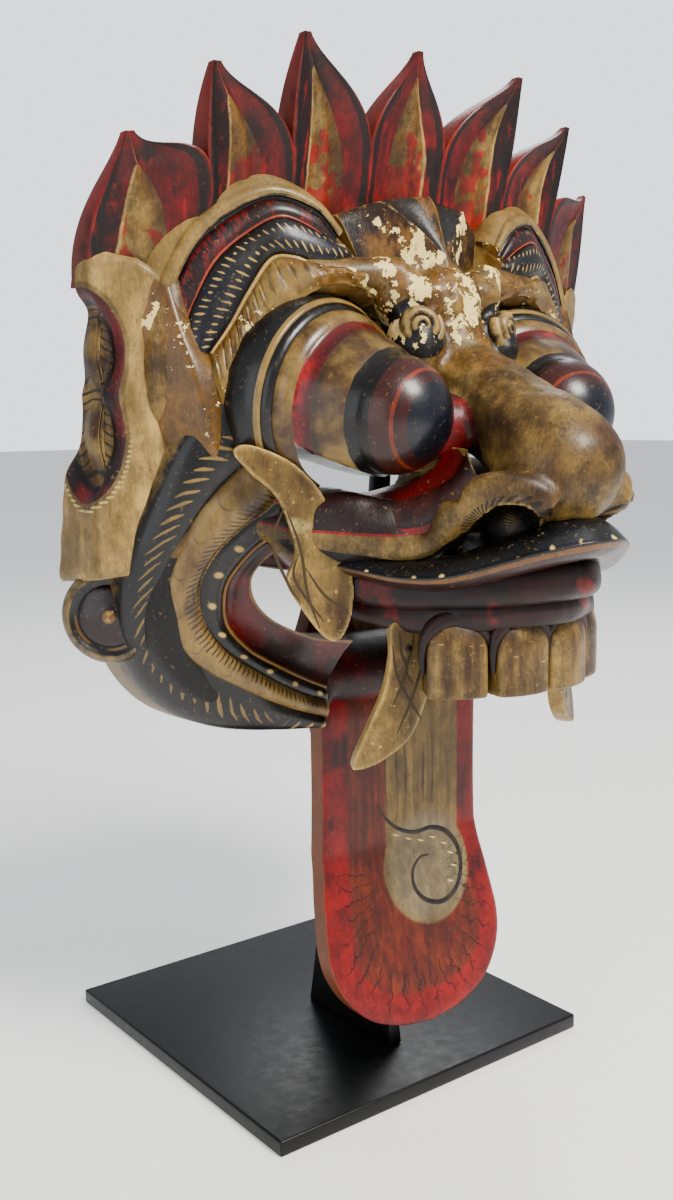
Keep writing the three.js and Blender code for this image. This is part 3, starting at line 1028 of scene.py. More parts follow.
@dataclass
class Crown(Assembly):
    """Seven carved flames."""

    thick: float = 15.0
    front: float = -76.0
    fold: float = 462.0
    drop: float = 0.0021
    lean: float = 0.2
    wrap: float = 32.0
    half: float = 154.0
    hollow: float = 4.2
    last: float = 120.0
    flames: tuple = (((0, 506), (-23, 461), (23, 461)), ((65, 504), (21, 460), (66, 451)),
                     ((107, 487), (64, 451), (106, 441)), ((140, 458), (104, 441), (152, 405)))

    def front_y(self, x: np.ndarray, z: np.ndarray) -> np.ndarray:
        """The crown's front: wrapped back at the sides and leaning forward above its foot."""
        fold = self.fold - self.drop * x * x
        return self.front + self.wrap * (np.abs(x) / self.half) ** 4 - self.lean * (z - fold)

    def paint(self) -> bpy.types.Material:
        """Crimson and maroon panels, a dark line inside the edge and a bone-coloured leaf."""
        finish = self.finish("flame_paint", rough=0.45, coat=0.1, relief=0.45, dirt=0.95, wear=0.4)
        b = finish.b
        up, side = finish.along, finish.across
        streak = b.noise(b.stretch(finish.place, (260.0, 260.0, 34.0)), 1.0, 3.0)
        patch = b.noise(finish.place, 46.0, 3.0)
        red = b.blend(Pigment.CRIMSON, Pigment.MAROON,
                      b.step(b.number("MULTIPLY_ADD", patch, 1.2, b.times(side, 0.14)), 0.62, 0.25))
        red = b.blend(red, Pigment.SCARLET, b.step(b.minus(streak, b.times(up, 0.16)), 0.55, 0.10), 0.6)
        width = b.times(b.number("SQRT", b.number("SUBTRACT", 1.0, b.number("DIVIDE", up, 0.74),
                                                  clamp=True)), 0.47)
        off = b.number("ABSOLUTE", b.minus(finish.wavy(side, 0.05), 0.10))
        inside = b.minus(width, off)
        leaf = b.step(inside, 0.0, 0.05)
        bone = b.blend(Pigment.BONE, Pigment.OCHRE, finish.cloud(90.0, 3.0, 0.5, 0.25))
        spots = b.step(b.number("MULTIPLY_ADD", up, -0.34, b.noise(finish.place, 95.0, 2.0)), 0.50, 0.05)
        bone = b.blend(bone, Pigment.SCARLET, spots, 0.85)
        bone = b.blend(bone, Pigment.MAROON, b.step(b.times(side, -1.0), 0.0, 0.35), 0.55)
        paint = b.blend(red, bone, leaf)
        rim = b.times(b.band(inside, -0.01, 0.045, 0.03), b.step(side, 0.1, 0.2))
        paint = b.blend(paint, Pigment.BONE_PALE, rim, 0.8)
        far = finish.wavy(b.number("ABSOLUTE", side), 0.07)
        paint = b.blend(paint, Pigment.SOOT, b.band(far, 0.77, 0.915, 0.05), 0.93)
        paint = b.blend(paint, Pigment.VERMILION, b.step(far, 0.955, 0.03))
        wall = b.blend(Pigment.VERMILION, Pigment.CRIMSON, b.step(patch, 0.52, 0.2))
        wall = b.blend(wall, Pigment.MAROON, b.rest(b.step(b.number("ADD", up, streak), 0.75, 0.5)))
        paint = b.blend(paint, wall, b.step(side, 5.0, 1.0))
        return finish.close(paint, bare=Pigment.SALMON)

    def flame(self, name: str, tip: tuple, inner: tuple, outer: tuple) -> bpy.types.Object:
        """One flame.

        Args:
            name: its name.
            tip: x and z of its tip.
            inner: x and z of its foot nearer the middle.
            outer: x and z of its foot farther out.
        Returns:
            The flame.
        """
        outermost = tip[0] > self.last
        rise, low = tip[1] - outer[1], min(inner[1], outer[1]) - (10 if outermost else 34)
        right = [np.array((outer[0], z), float) for z in np.linspace(low, outer[1] - 6, 10, endpoint=False)]
        right += bezier((outer[0], outer[1] - 6), (outer[0] + 3, outer[1] + 0.45 * rise),
                        (tip[0] + 2, tip[1] - 0.3 * rise), (tip[0] + 1.4, tip[1] - 0.6), 44)
        left = [np.array((inner[0], z), float) for z in np.linspace(low, inner[1] - 8, 10, endpoint=False)]
        left += bezier((inner[0], inner[1] - 8), (inner[0] - 1, inner[1] + 26), (tip[0] - 8, tip[1] - 14),
                       (tip[0] - 1.4, tip[1] - 0.6), 44)
        if tip[0] == 0:
            left = [p * np.array((-1, 1)) for p in right]
        left, right = np.array(left), np.array(right)
        across = np.concatenate([[-1, -0.975], np.linspace(-0.93, 0.93, 30), [0.975, 1]])
        ease = np.where(np.abs(across) > 0.99, 1.3, np.where(np.abs(across) > 0.95, 0.35, 0))
        width = np.linalg.norm(right - left, axis=1)
        spread = across[None, :, None]
        flat = left[:, None] * (1 - spread) / 2 + right[:, None] * (1 + spread) / 2
        x, z = flat[..., 0], flat[..., 1]
        shallow = np.clip(width / 40, 0, 1)[:, None]
        bowl = self.hollow * np.clip(1 - (np.abs(across) / 0.92) ** 2.2, 0, 1) * shallow
        vein = 1.5 * np.exp(-((across - 0.12) / 0.10) ** 2) * shallow
        y = self.front_y(x, z) + bowl - vein + ease[None]
        face = np.stack([x, y, z], axis=2)
        base = self.fold - self.drop * tip[0] ** 2 - (18 if outermost else 4)
        up = (z - base) / (tip[1] - base) * 100
        lanes = np.stack([up, np.repeat(across[None], len(x), axis=0)], axis=2)
        return backed(name, face, lanes, self.thick, taper=0.8)

    def build(self) -> None:
        """Makes the flames and paints them."""
        paint = self.paint()
        for number, (tip, inner, outer) in enumerate(self.flames):
            if tip[0] == 0:
                self.done(self.flame("flame_middle", tip, inner, outer), paint, angle=42)
                continue
            self.pair(self.flame(f"flame_left_{number}", tip, inner, outer), paint, 42)


@dataclass
class Eyes(Assembly):
    """Bulging eyes: stepped rings, a tapered barrel and a glossy ball."""

    at: Point = (63, -74, 347)
    towards: Point = (46, -153, 335)
    ball: float = 26.0
    centre: float = 53.0

    def paint(self) -> bpy.types.Material:
        """Rings of paint from the dark outer band to the blue-black ball, with painted sheen on the ball.
        """
        finish = self.finish("eye_paint", rough=0.36, coat=0.35, relief=0.35, dirt=0.55, wear=0.35)
        b = finish.b
        mark = finish.wavy(finish.across, 0.06)
        tan = b.blend(Pigment.BONE, Pigment.BONE_DARK, finish.streak((60.0, 30.0, 60.0), 4.0, 0.52, 0.3))
        paint = b.ramp(b.number("DIVIDE", mark, 16.0),
                       [(0.0, Pigment.PINE), (1 / 16, Pigment.BONE), (2 / 16, Pigment.SOOT),
                        (3 / 16, Pigment.BONE), (4 / 16, Pigment.CRIMSON), (5 / 16, Pigment.BONE),
                        (6 / 16, Pigment.SOOT), (7 / 16, ink(104, 56, 42)), (8 / 16, Pigment.RUST),
                        (9 / 16, ink(98, 42, 36)), (10 / 16, Pigment.NAVY)])
        paint = b.blend(paint, tan, b.number("ADD", b.band(mark, 3.0, 4.0, 0.03),
                                             b.band(mark, 5.0, 6.0, 0.03), clamp=True))
        hot = b.times(b.band(mark, 4.0, 5.0, 0.03), finish.cloud(60.0, 3.0, 0.52, 0.12))
        paint = b.blend(paint, Pigment.SCARLET, hot)
        paint = b.blend(paint, Pigment.UMBER, b.band(mark, 4.55, 5.25, 0.3), 0.55)
        # painted sheen: cloudy patches of lighter blue on the ball stand in for its soft reflection
        sheen = b.times(b.step(mark, 10.0, 0.1), finish.cloud(28.0, 2.0, 0.5, 0.3))
        paint = b.blend(paint, ink(20, 52, 74), sheen, 0.8)
        return finish.close(paint)

    def build(self) -> None:
        """Turns the left eye and copies it to the right."""
        profile = [(0.01, -20, 0.5), (42, -20, 0.5), (45.4, -6, 0.5), (47, -1, 0.5), (47.6, 3, 0.5),
                   (47.5, 7, 0.6), (46.9, 10.6, 0.8), (45.9, 13, 0.95), (45.6, 13.4, 1.0),
                   (45.4, 14.4, 1.2), (45.0, 15.4, 1.5), (44.2, 15.9, 1.9), (43.8, 15.9, 2.0),
                   (43.7, 17, 2.2), (42.9, 18.6, 2.5), (41.4, 19.8, 2.9), (40.9, 19.9, 3.0),
                   (41.0, 21, 3.15), (40.6, 23.6, 3.4), (39.4, 26, 3.7), (37.4, 27.6, 3.95),
                   (36.8, 27.8, 4.0), (36.0, 28.8, 4.25), (35.0, 31, 4.5), (34.2, 33.4, 4.75),
                   (33.7, 34.8, 4.97), (33.4, 35.4, 5.02), (32.6, 38, 5.3), (31.4, 41.4, 5.5),
                   (30.0, 45, 5.75), (28.8, 47.6, 5.95), (28.0, 48.8, 6.0)]
        marks = [(0, 6.15), (8, 6.6), (14, 7.0), (24, 7.5), (33, 7.96), (34.5, 8.02), (36.5, 8.9),
                 (38, 9.0), (44, 9.6), (50, 9.97), (51.5, 10.03), (60, 10.5), (70, 11), (80, 11.5),
                 (89.6, 12)]
        angles = sorted({*np.arange(0, 88, 3.0), *(a for a, _ in marks)})
        for angle in angles:
            turn = math.radians(angle)
            mark = float(np.interp(angle, [a for a, _ in marks], [m for _, m in marks]))
            profile.append((self.ball * math.cos(turn), self.centre + self.ball * math.sin(turn), mark))
        left = spun("eye_left", profile, self.at, self.towards)
        Workshop.cut(left, [Workshop.egg(*HOLLOW), Workshop.egg(*SOCKET), eye_slit()])
        self.pair(left, self.paint(), 38)


@dataclass
class Brows(Assembly):
    """Hooded brows: rim, maroon band, dashed lid and the scalloped plate under it."""

    guides: tuple = (
        ((46, -72, 424), (60, -68, 439), (80, -62, 446), (103, -54, 439), (122, -49, 421), (132, -46, 401),
         (136, -46, 383), (133, -52, 366)),
        ((48, -84, 421), (60, -80, 434), (79, -75, 439), (99, -68, 432), (115, -62, 418), (126, -59, 398),
         (131, -57, 382), (129, -61, 366)),
        ((50, -86, 418), (61, -84, 429), (79, -78, 434), (96, -71, 427), (111, -66, 414), (121, -63, 396),
         (126, -61, 381), (125, -64, 365)),
        ((51, -85, 416), (62, -83, 427), (79, -77, 432), (95, -70, 425), (110, -65, 412.5),
         (119.6, -62, 395.5), (124.6, -60, 381), (124, -63.6, 365)),
        ((52, -86, 413), (64, -85, 421), (79, -81, 425.5), (94, -74, 417), (106, -70, 406), (114, -67, 391),
         (119, -66, 378), (119, -68, 364)),
        ((52, -86, 411.6), (64, -85, 419.8), (79, -81, 424), (93, -74, 416), (105, -70, 405),
         (113, -67, 390.5), (118, -66, 378), (118, -68, 364)),
        ((46, -90, 408), (56, -91, 405), (66, -89, 405), (75, -86, 408), (84, -81, 407), (94, -78, 393),
         (103, -76, 378), (111, -73, 366)),
        ((45, -91, 406), (56, -92, 403.4), (66, -90, 403.4), (75, -87, 406.4), (83.4, -82, 405.6),
         (93, -79, 392), (102, -77, 377.4), (110, -74, 366)),
        ((34, -96, 390), (46, -97, 395), (60, -96, 396), (74, -92, 390), (87, -87, 379), (97, -83, 365),
         (103, -81, 352), (106, -79, 340)),
    )
    swell: tuple = (1.6, 1.8, -1.2, 1.4, 0.7, 3.2, 0.5, 4.4)

    def paint(self) -> bpy.types.Material:
        """Pale rim, maroon band with dark strokes, blue-black lid with white dashes, and a gilded plate."""
        finish = self.finish("brow_paint", rough=0.42, coat=0.25, relief=0.5, dirt=0.6, wear=0.6)
        b = finish.b
        along, lane = finish.along, finish.wavy(finish.across, 0.10)
        gold = b.blend(Pigment.BONE, Pigment.OCHRE, finish.cloud(55.0, 4.0, 0.5, 0.2))
        paint = b.ramp(b.number("DIVIDE", lane, 10.0),
                       [(0.0, Pigment.BONE), (0.19, Pigment.SOOT), (0.30, Pigment.MAROON),
                        (0.40, Pigment.SALMON), (0.50, Pigment.NAVY), (0.60, Pigment.BONE_PALE),
                        (0.70, Pigment.BONE)])
        lid = b.blend(Pigment.NAVY, Pigment.PINE, finish.cloud(40.0, 3.0, 0.5, 0.2))
        paint = b.blend(paint, lid, b.band(lane, 5.0, 6.0, 0.04))
        glow = b.times(b.band(lane, 3.0, 4.0, 0.05), finish.streak((180.0, 180.0, 60.0), 3.0, 0.52, 0.1))
        paint = b.blend(paint, Pigment.CRIMSON, glow, 0.8)
        paint = b.blend(paint, gold, b.step(lane, 7.0, 0.04))
        comb = finish.dashes(Along=along, Across=b.minus(lane, 3.0), Pitch=0.034, Width=0.42, Slant=0.0,
                             From=-0.05, To=0.9, Wobble=0.8)
        paint = b.blend(paint, Pigment.SOOT, comb, 0.8)
        for low, high, pitch in ((5.1, 5.42, 0.036), (5.52, 5.9, 0.042)):
            row = finish.dashes(Along=along, Across=lane, Pitch=pitch, Width=0.34, Slant=0.02, From=low,
                                To=high, Wobble=0.5)
            paint = b.blend(paint, Pigment.BONE_PALE, row, 0.85)
        flute = finish.dashes(Along=along, Across=lane, Pitch=0.07, Width=0.34, From=7.12, To=7.75,
                              Wobble=0.9)
        paint = b.blend(paint, Pigment.UMBER, flute, 0.55)
        flakes = b.number("MULTIPLY_ADD", b.step(lane, 7.0, 0.1), 0.17, 0.12)
        return finish.close(paint, flakes=flakes, flake_scale=70.0)

    def build(self) -> None:
        """Carves the left brow and copies it to the right."""
        face, lanes = lofted(self.guides, 110, 7, self.swell)
        out = outward(face)
        lane, along = lanes[..., 1], lanes[..., 0]
        share = np.clip((lane - 7.0), 0, 1)
        scallop = np.abs(np.sin(along / 17.0 * math.pi))
        lip = np.exp(-(((share - 0.62 - 0.2 * (1 - scallop)) / 0.1) ** 2)) * 1.6
        groove = np.exp(-((np.sin(along / 6.5 * math.pi) / 0.3) ** 2))
        flutes = -0.9 * groove * (share > 0.05) * (share < 0.55)
        inside = (share > 0) * np.clip(np.sin(math.pi * share), 0, 1) ** 0.3
        face = face + out * ((lip + flutes) * inside)[..., None]
        self.pair(backed("brow_left", face, lanes, 16.0, -3.0), self.paint(), 40)


@dataclass
class Temples(Assembly):
    """Faceted gilded plates between the ears and the eyes."""

    guides: tuple = (
        ((133, -52, 402), (135, -54, 384), (134, -56, 366), (131, -58, 348), (128, -60, 332),
         (120, -64, 316)),
        ((125, -63, 394), (124, -70, 376), (121, -76, 358), (118, -79, 340), (115, -79, 326),
         (111, -76, 314)),
        ((118, -62, 388), (112, -70, 370), (107, -77, 354), (103, -79, 338), (101, -78, 324),
         (102, -74, 312)),
    )

    def build(self) -> None:
        """Carves the left plate and copies it to the right."""
        finish = self.finish("temple_gold", rough=0.4, coat=0.3, relief=0.5, dirt=0.75, wear=0.6)
        b = finish.b
        gold = b.blend(ink(150, 120, 58), Pigment.OCHRE, finish.cloud(50.0, 4.0, 0.55, 0.2))
        gold = b.blend(gold, Pigment.BONE_DARK, finish.cloud(33.0, 2.0, 0.55, 0.2))
        paint = finish.close(gold, flakes=0.27, flake_scale=60.0)
        face, lanes = lofted(self.guides, 50, 10, (0.6, 0.8))
        self.pair(backed("temple_left", face, lanes, 20.0, -2.0), paint, 35)


@dataclass
class Jaw(Assembly):
    """The lower jaw's two cheeks: fringe, scale band, dotted band and the red inner lip."""

    guides: tuple = (
        ((108, -78, 350), (124, -69, 329), (134.5, -59, 303), (141, -50, 279), (141, -38, 252),
         (134, -30, 226), (120, -33, 206), (104, -44, 196), (84, -57, 192), (51, -71, 191)),
        ((96, -84, 322), (104, -79, 314), (114, -74, 303), (123, -67, 286), (129, -58, 264),
         (126, -54, 246), (113, -57, 228), (92, -65, 214), (70, -69, 203), (51, -72, 196)),
        ((82, -92, 312), (90, -87, 300), (101, -79, 290), (111, -72, 278), (115, -66, 264), (112, -64, 248),
         (101, -65, 233), (82, -70, 219), (66, -72, 210), (51, -73, 204)),
        ((76, -92, 302), (83, -85, 290), (93, -77, 281), (102, -70, 268), (104, -67, 257), (101, -65, 244),
         (91, -68, 232), (75, -71, 222), (62, -72, 215), (51, -73, 210)),
        ((75, -91, 300), (82, -84, 288.6), (91.6, -76, 279.8), (100.4, -70, 267.4), (102.2, -67, 257),
         (99.2, -65, 245), (89.6, -68, 233.4), (74, -71, 223.6), (61, -72, 216.6), (50, -73, 211.6)),
        ((68, -88, 292), (76, -80, 282), (84, -72, 274), (89, -69, 266), (87, -68, 256), (80, -70, 247),
         (68, -72, 240), (56, -74, 235), (44, -75, 233), (36, -76, 232)),
    )
    swell: tuple = (3.4, 4.2, 2.2, 0.8, -2.5)

    def paint(self) -> bpy.types.Material:
        """Dark fringe with pale strokes, bone scale band, dotted dark band, gold line and deep red lip."""
        finish = self.finish("jaw_paint", rough=0.4, coat=0.35, relief=0.45, dirt=0.5, wear=0.4)
        b = finish.b
        along, lane = finish.along, finish.wavy(finish.across, 0.07)
        bone = b.blend(Pigment.BONE, Pigment.BONE_DARK, finish.streak((50.0, 50.0, 24.0), 4.0, 0.55, 0.3))
        red = b.blend(Pigment.MAROON, Pigment.CRIMSON, finish.cloud(30.0, 3.0, 0.55, 0.2))
        paint = b.ramp(b.number("DIVIDE", lane, 10.0),
                       [(0.0, Pigment.SOOT), (0.10, Pigment.BONE), (0.20, Pigment.SOOT),
                        (0.30, Pigment.OCHRE), (0.40, Pigment.MAROON), (0.6, Pigment.UMBER)])
        paint = b.blend(paint, bone, b.band(lane, 1.0, 2.0, 0.03))
        paint = b.blend(paint, red, b.band(lane, 4.0, 6.0, 0.03))
        soot = b.blend(Pigment.SOOT, Pigment.PINE, finish.cloud(36.0, 3.0, 0.56, 0.2))
        paint = b.blend(paint, soot, b.band(lane, -1.0, 1.0, 0.03))
        upper = b.rest(b.step(along, 1.28, 0.05))
        slanted = finish.dashes(Along=along, Across=lane, Pitch=0.044, Width=0.40, Slant=0.20, From=0.34,
                                To=0.86, Wobble=0.5)
        paint = b.blend(paint, Pigment.BONE, b.times(slanted, upper), 0.85)
        fringe = finish.dashes(Along=along, Across=lane, Pitch=0.046, Width=0.34, Slant=-0.03, From=0.02,
                               To=0.74, Wobble=0.8)
        lower = b.step(along, 1.34, 0.05)
        paint = b.blend(paint, Pigment.BONE_PALE, b.times(fringe, lower), 0.7)
        hair = finish.dashes(Along=along, Across=lane, Pitch=0.022, Width=0.42, Slant=0.03, From=1.55,
                             To=2.12, Wobble=0.7)
        paint = b.blend(paint, Pigment.SOOT, hair, 0.85)
        bow = b.times(b.number("POWER", b.number("ABSOLUTE", b.minus(lane, 1.38)), 2.0), 0.5)
        arcs = finish.dashes(Along=b.number("ADD", along, bow), Across=lane, Pitch=0.155, Width=0.075,
                             From=0.9, To=1.72, Wobble=0.2)
        paint = b.blend(paint, Pigment.SOOT, arcs)
        dots = finish.dots(Along=along, Across=lane, Pitch=0.15, Centre=2.5, Reach=0.13, Ratio=0.55)
        paint = b.blend(paint, Pigment.BONE_PALE, dots)
        return finish.close(paint)

    def build(self) -> None:
        """Carves the left cheek and copies it to the right."""
        face, lanes = lofted(self.guides, 130, 8, self.swell)
        self.pair(backed("jaw_left", face, lanes, 20.0, -1.0), self.paint(), 40)


@dataclass
class Ears(Assembly):
    """Tall ears with a two-lobed hollow, and the round plugs in their lobes."""

    plan: tuple = ((122, -60), (131, -58), (139.5, -53), (147, -48.5), (151.6, -45), (153.4, -41))
    bottom: float = 268.0
    top: float = 407.0
    rear: float = 154.2

    def hollow_field(self, run: np.ndarray, z: np.ndarray) -> np.ndarray:
        """How far a place on the ear lies from the hollow's middle: 1 on its border."""
        upper = np.hypot((run - 5) / 22, (z - 367) / 27)
        lower = np.hypot((run - 6) / 22, (z - 331) / 29)
        return -np.log(np.exp(-9 * upper) + np.exp(-9 * lower)) / 9

    def paint(self) -> bpy.types.Material:
        """Bone, a crimson border round the hollow and painted shade inside it, hair strokes in it, gold
        beads below.
        """
        finish = self.finish("ear_paint", rough=0.48, relief=0.5, dirt=0.75, wear=0.6, coat=0.12)
        b = finish.b
        up, edge = finish.along, finish.wavy(finish.across, 0.06)
        bone = b.blend(Pigment.BONE, Pigment.BONE_PALE, finish.streak((80.0, 80.0, 26.0), 4.0, 0.52, 0.25))
        inner = b.blend(Pigment.BONE, Pigment.BONE_DARK, finish.cloud(60.0, 3.0, 0.5, 0.3))
        red = b.blend(Pigment.CRIMSON, Pigment.MAROON, finish.cloud(40.0, 3.0, 0.5, 0.2))
        paint = b.blend(bone, Pigment.UMBER, b.band(edge, 1.02, 1.12, 0.06), 0.5)
        paint = b.blend(paint, red, b.rest(b.step(edge, 1.03, 0.03)))
        # a thin black line inside the crimson border, widened into painted shade on the hollow's steep
        # inner wall
        paint = b.blend(paint, Pigment.SOOT, b.rest(b.step(edge, 0.84, 0.03)))
        paint = b.blend(paint, inner, b.rest(b.step(edge, 0.76, 0.05)))
        hair = finish.dashes(Along=up, Across=edge, Pitch=0.045, Width=0.36, Slant=0.12, From=0.36, To=0.9,
                             Wobble=0.6)
        paint = b.blend(paint, Pigment.SOOT, hair, 0.9)
        beads = finish.dots(Along=up, Across=edge, Pitch=0.022, Centre=1.13, Reach=0.30, Ratio=6.0)
        low = b.rest(b.step(up, 3.28, 0.1))
        paint = b.blend(paint, Pigment.CREAM, b.times(beads, low), 0.8)
        return finish.close(paint, flakes=0.14)

    def plug_paint(self) -> bpy.types.Material:
        """Dark round plug, a red disc with a yellow dot and gold arcs."""
        finish = self.finish("plug_paint", rough=0.34, coat=0.4, relief=0.3, dirt=0.45, wear=0.5)
        b = finish.b
        mark = finish.wavy(finish.across, 0.12)
        paint = b.ramp(b.number("DIVIDE", mark, 10.0),
                       [(0.0, Pigment.PINE), (0.3, Pigment.SOOT), (0.5, Pigment.MAROON),
                        (0.8, Pigment.OCHRE)])
        arc = b.times(b.band(mark, 3.6, 4.2, 0.1), finish.streak((40.0, 40.0, 40.0), 1.0, 0.52, 0.05))
        return finish.close(b.blend(paint, Pigment.OCHRE, arc))

    def build(self) -> None:
        """Carves the left ear and its plug and copies them to the right."""
        line = smooth_loop(self.plan, 12, closed=False)
        reach = reach_of(line)
        front, side = np.linspace(0, reach[-1], 56), np.linspace(0, 1, 37)[1:]
        flat = len(front)
        run = np.concatenate([front - reach[-1], side * 24])
        low = self.bottom + np.interp(run, [-36, -24, -16, 0, 24], [34, 20, 2, 0, -4])
        high = self.top + np.interp(run, [-36, -24, -10, 0, 24], [-8, -1, 2, 0, -2])
        rise = np.linspace(0, 1, 120)[:, None]
        z = low + (high - low) * rise
        back = sawn(z)
        corner_x, corner_y = line[-1]
        outer_x = np.concatenate([np.interp(front, reach, line[:, 0]),
                                  corner_x + (self.rear - corner_x) * side])
        x = np.repeat(outer_x[None], len(z), axis=0)
        face_y = np.repeat(np.interp(front, reach, line[:, 1])[None], len(z), axis=0)
        y = np.concatenate([face_y, corner_y + (back[:, flat:] - corner_y) * side], axis=1)
        face_run = np.repeat((front - reach[-1])[None], len(z), axis=0)
        run = np.concatenate([face_run, y[:, flat:] - corner_y], axis=1)
        field_ = self.hollow_field(run, z)
        depth = 9.0 * (1 / (1 + np.exp((field_ - 0.84) * 14)))
        core = 5.0 * np.exp(-((field_ / 0.5) ** 2))
        ease = 2.0 * np.exp(-np.minimum(z - low[None], high[None] - z) / 1.6)
        grain = 0.45 * np.sin(z / 2.7 + 0.4 * np.sin(run / 3)) * (field_ > 1.2)
        way = np.stack([np.gradient(x, axis=1), np.gradient(y, axis=1)], axis=2)
        way /= np.linalg.norm(way, axis=2, keepdims=True)
        sink = depth - core + ease + grain * 0.5
        face = np.stack([x - sink * way[..., 1], y + sink * way[..., 0], z], axis=2)
        lanes = np.stack([z, field_], axis=2)
        inner = np.stack([np.full(len(z), 122.0), back[:, 0], z[:, 0]], axis=1)[:, None]
        loops, marks = np.concatenate([face, inner], axis=1), np.concatenate([lanes, lanes[:, :1]], axis=1)
        left = skin("ear_left", loops, marks, face.shape[1])
        profile = [(0.01, -16, 0.5), (19, -16, 0.5), (21.6, -10, 1), (22.6, -3, 2), (22.4, 3, 2.4),
                   (21, 6.6, 2.8), (18.6, 8, 3.0), (17, 7.2, 3.4), (15.6, 6.2, 3.7), (14.4, 6.2, 4.6),
                   (13.6, 7.0, 5.0), (10, 7.8, 6), (6, 8.3, 7), (3.4, 8.6, 7.9), (3.0, 9.0, 8.1),
                   (1.6, 9.6, 9), (0.01, 9.7, 9)]
        plug = spun("ear_plug_left", profile, (139, -28, 250), (149, -41, 250), 64)
        self.pair(left, self.paint(), 40)
        self.pair(plug, self.plug_paint(), 40)


@dataclass
class Mouth(Assembly):
    """Upper lip, gums and the four broad teeth."""

    lip: tuple = ((84, -76, 284), (77, -91, 279), (70, -106, 275), (63, -125, 272), (56, -142, 270.5),
                  (46, -157, 272), (26, -176, 280), (9, -188, 285), (0, -190, 286))
    gum: tuple = ((70, -92, 270), (64, -108, 265), (54, -126, 263), (42, -150, 264), (22, -169, 266),
                  (8, -179, 268), (0, -180, 268))
    arch: tuple = ((60, -94, 254), (54, -112, 253), (48, -132, 252), (38, -152, 253), (20, -165, 255),
                   (8, -172, 256), (0, -173, 256))
    teeth: tuple = ((13.4, -163, 9), (39, -151, 33))
    low: float = 218.0
    high: float = 251.0
    half: float = 13.3
    thick: float = 17.0

    @staticmethod
    def full(path: Sequence[Point]) -> list:
        """The path carried over to the other side."""
        return [*path, *[(-x, y, z) for x, y, z in reversed(path[:-1])]]

    def lip_paint(self) -> bpy.types.Material:
        """Green-black lip with a gold lower edge, dark red underneath."""
        finish = self.finish("lip_paint", rough=0.38, coat=0.3, relief=0.4, dirt=0.6, wear=0.55)
        b = finish.b
        lane = finish.wavy(finish.across, 0.25)
        top = b.blend(Pigment.PINE, Pigment.NAVY, finish.cloud(30.0, 3.0, 0.5, 0.2))
        paint = b.blend(top, ink(156, 118, 50), b.step(lane, 4.15, 0.1))
        red = b.blend(Pigment.MAROON, ink(92, 44, 28), finish.cloud(26.0, 3.0, 0.5, 0.3))
        paint = b.blend(paint, red, b.step(lane, 4.75, 0.1))
        spots = finish.dots(Along=finish.along, Across=lane, Pitch=0.11, Centre=3.2, Reach=0.12, Ratio=0.3)
        return finish.close(b.blend(paint, Pigment.CREAM, spots,
                                    b.step(b.noise(finish.place, 60.0), 0.5, 0.05)))

    def gum_paint(self) -> bpy.types.Material:
        """Dark glossy red with brighter vermilion patches as painted highlights."""
        finish = self.finish("gum_paint", rough=0.48, coat=0.1, relief=0.6, dirt=0.9, wear=0.25)
        b = finish.b
        red = b.blend(ink(46, 16, 18), ink(88, 26, 24), finish.streak((30.0, 30.0, 70.0), 4.0, 0.52, 0.25))
        # painted highlights: sparse vermilion patches stand in for the gum rolls' orange highlights
        red = b.blend(red, Pigment.VERMILION, finish.cloud(44.0, 3.0, 0.63, 0.08), 0.8)
        return finish.close(red, bare=Pigment.RUST)

    def tooth_paint(self) -> bpy.types.Material:
        """Yellowed bone white with darker streaks and pale scratches."""
        finish = self.finish("tooth_paint", rough=0.42, coat=0.15, relief=0.5, dirt=0.9, wear=0.6)
        b = finish.b
        bone = b.blend(Pigment.BONE, Pigment.BONE_DARK, finish.streak((120.0, 120.0, 26.0), 4.0, 0.5, 0.35))
        scratch = finish.streak((90.0, 90.0, 900.0), 2.0, 0.72, 0.03)
        return finish.close(b.blend(bone, Pigment.CREAM, scratch, 0.6), flakes=0.08)

    def build(self) -> None:
        """Makes the mouth's mouldings and teeth."""
        section = [(-12, 8), (-4, 10.5), (4, 8), (10.5, 2.2), (11.6, 0.4), (8.6, -3.6), (2, -7.5), (-8, -8),
                   (-14, 0)]
        lip = swept("upper_lip", self.full(self.lip), section,
                    (0.3, 0.5, 0.66, 0.95, 1.02, 0.95, 0.66, 0.5, 0.3), 150)
        self.done(lip, self.lip_paint(), angle=50)
        gums = self.gum_paint()
        bulge = [(-10, 7.5), (0, 9.5), (5.4, 7), (7.4, 1), (6.4, -5), (0, -8.5), (-10, -6)]
        self.done(swept("gum_upper", self.full(self.gum), bulge, (0.5, 0.9, 1, 1, 1, 1, 1, 0.9, 0.5), 150),
                  gums, angle=60)
        band = [(-12, 6), (0, 8), (4.4, 6), (6.6, 0), (4.4, -6), (0, -7.5), (-12, -6)]
        self.done(swept("gum_lower", self.full(self.arch), band, (0.6, 0.9, 1, 1, 1, 1, 1, 0.9, 0.6), 150),
                  gums, angle=60)
        bone = self.tooth_paint()
        turns = np.linspace(0, math.pi, 20)
        for number, (x, y, turn) in enumerate(self.teeth):
            outline = [(-self.half, self.low), (self.half, self.low)]
            outline += [(self.half * math.cos(t),
                         self.high - self.half + self.half * math.sin(t)) for t in turns]
            tooth = Workshop.plank(np.array(outline), self.thick, 0.9)
            Workshop.apply(tooth, "SMOOTH", factor=0.5, iterations=6)
            angle = math.radians(turn)

            def settle(p: np.ndarray) -> np.ndarray:
                """Rounds the tooth's face and turns it to its place in the row."""
                bow = p[:, 1] + 0.018 * p[:, 0] ** 2 + np.clip(p[:, 2] - 238, 0, 20) ** 2 * 0.02
                return np.stack([x + p[:, 0] * math.cos(angle) - bow * math.sin(angle),
                                 y + p[:, 0] * math.sin(angle) + bow * math.cos(angle), p[:, 2]], axis=1)

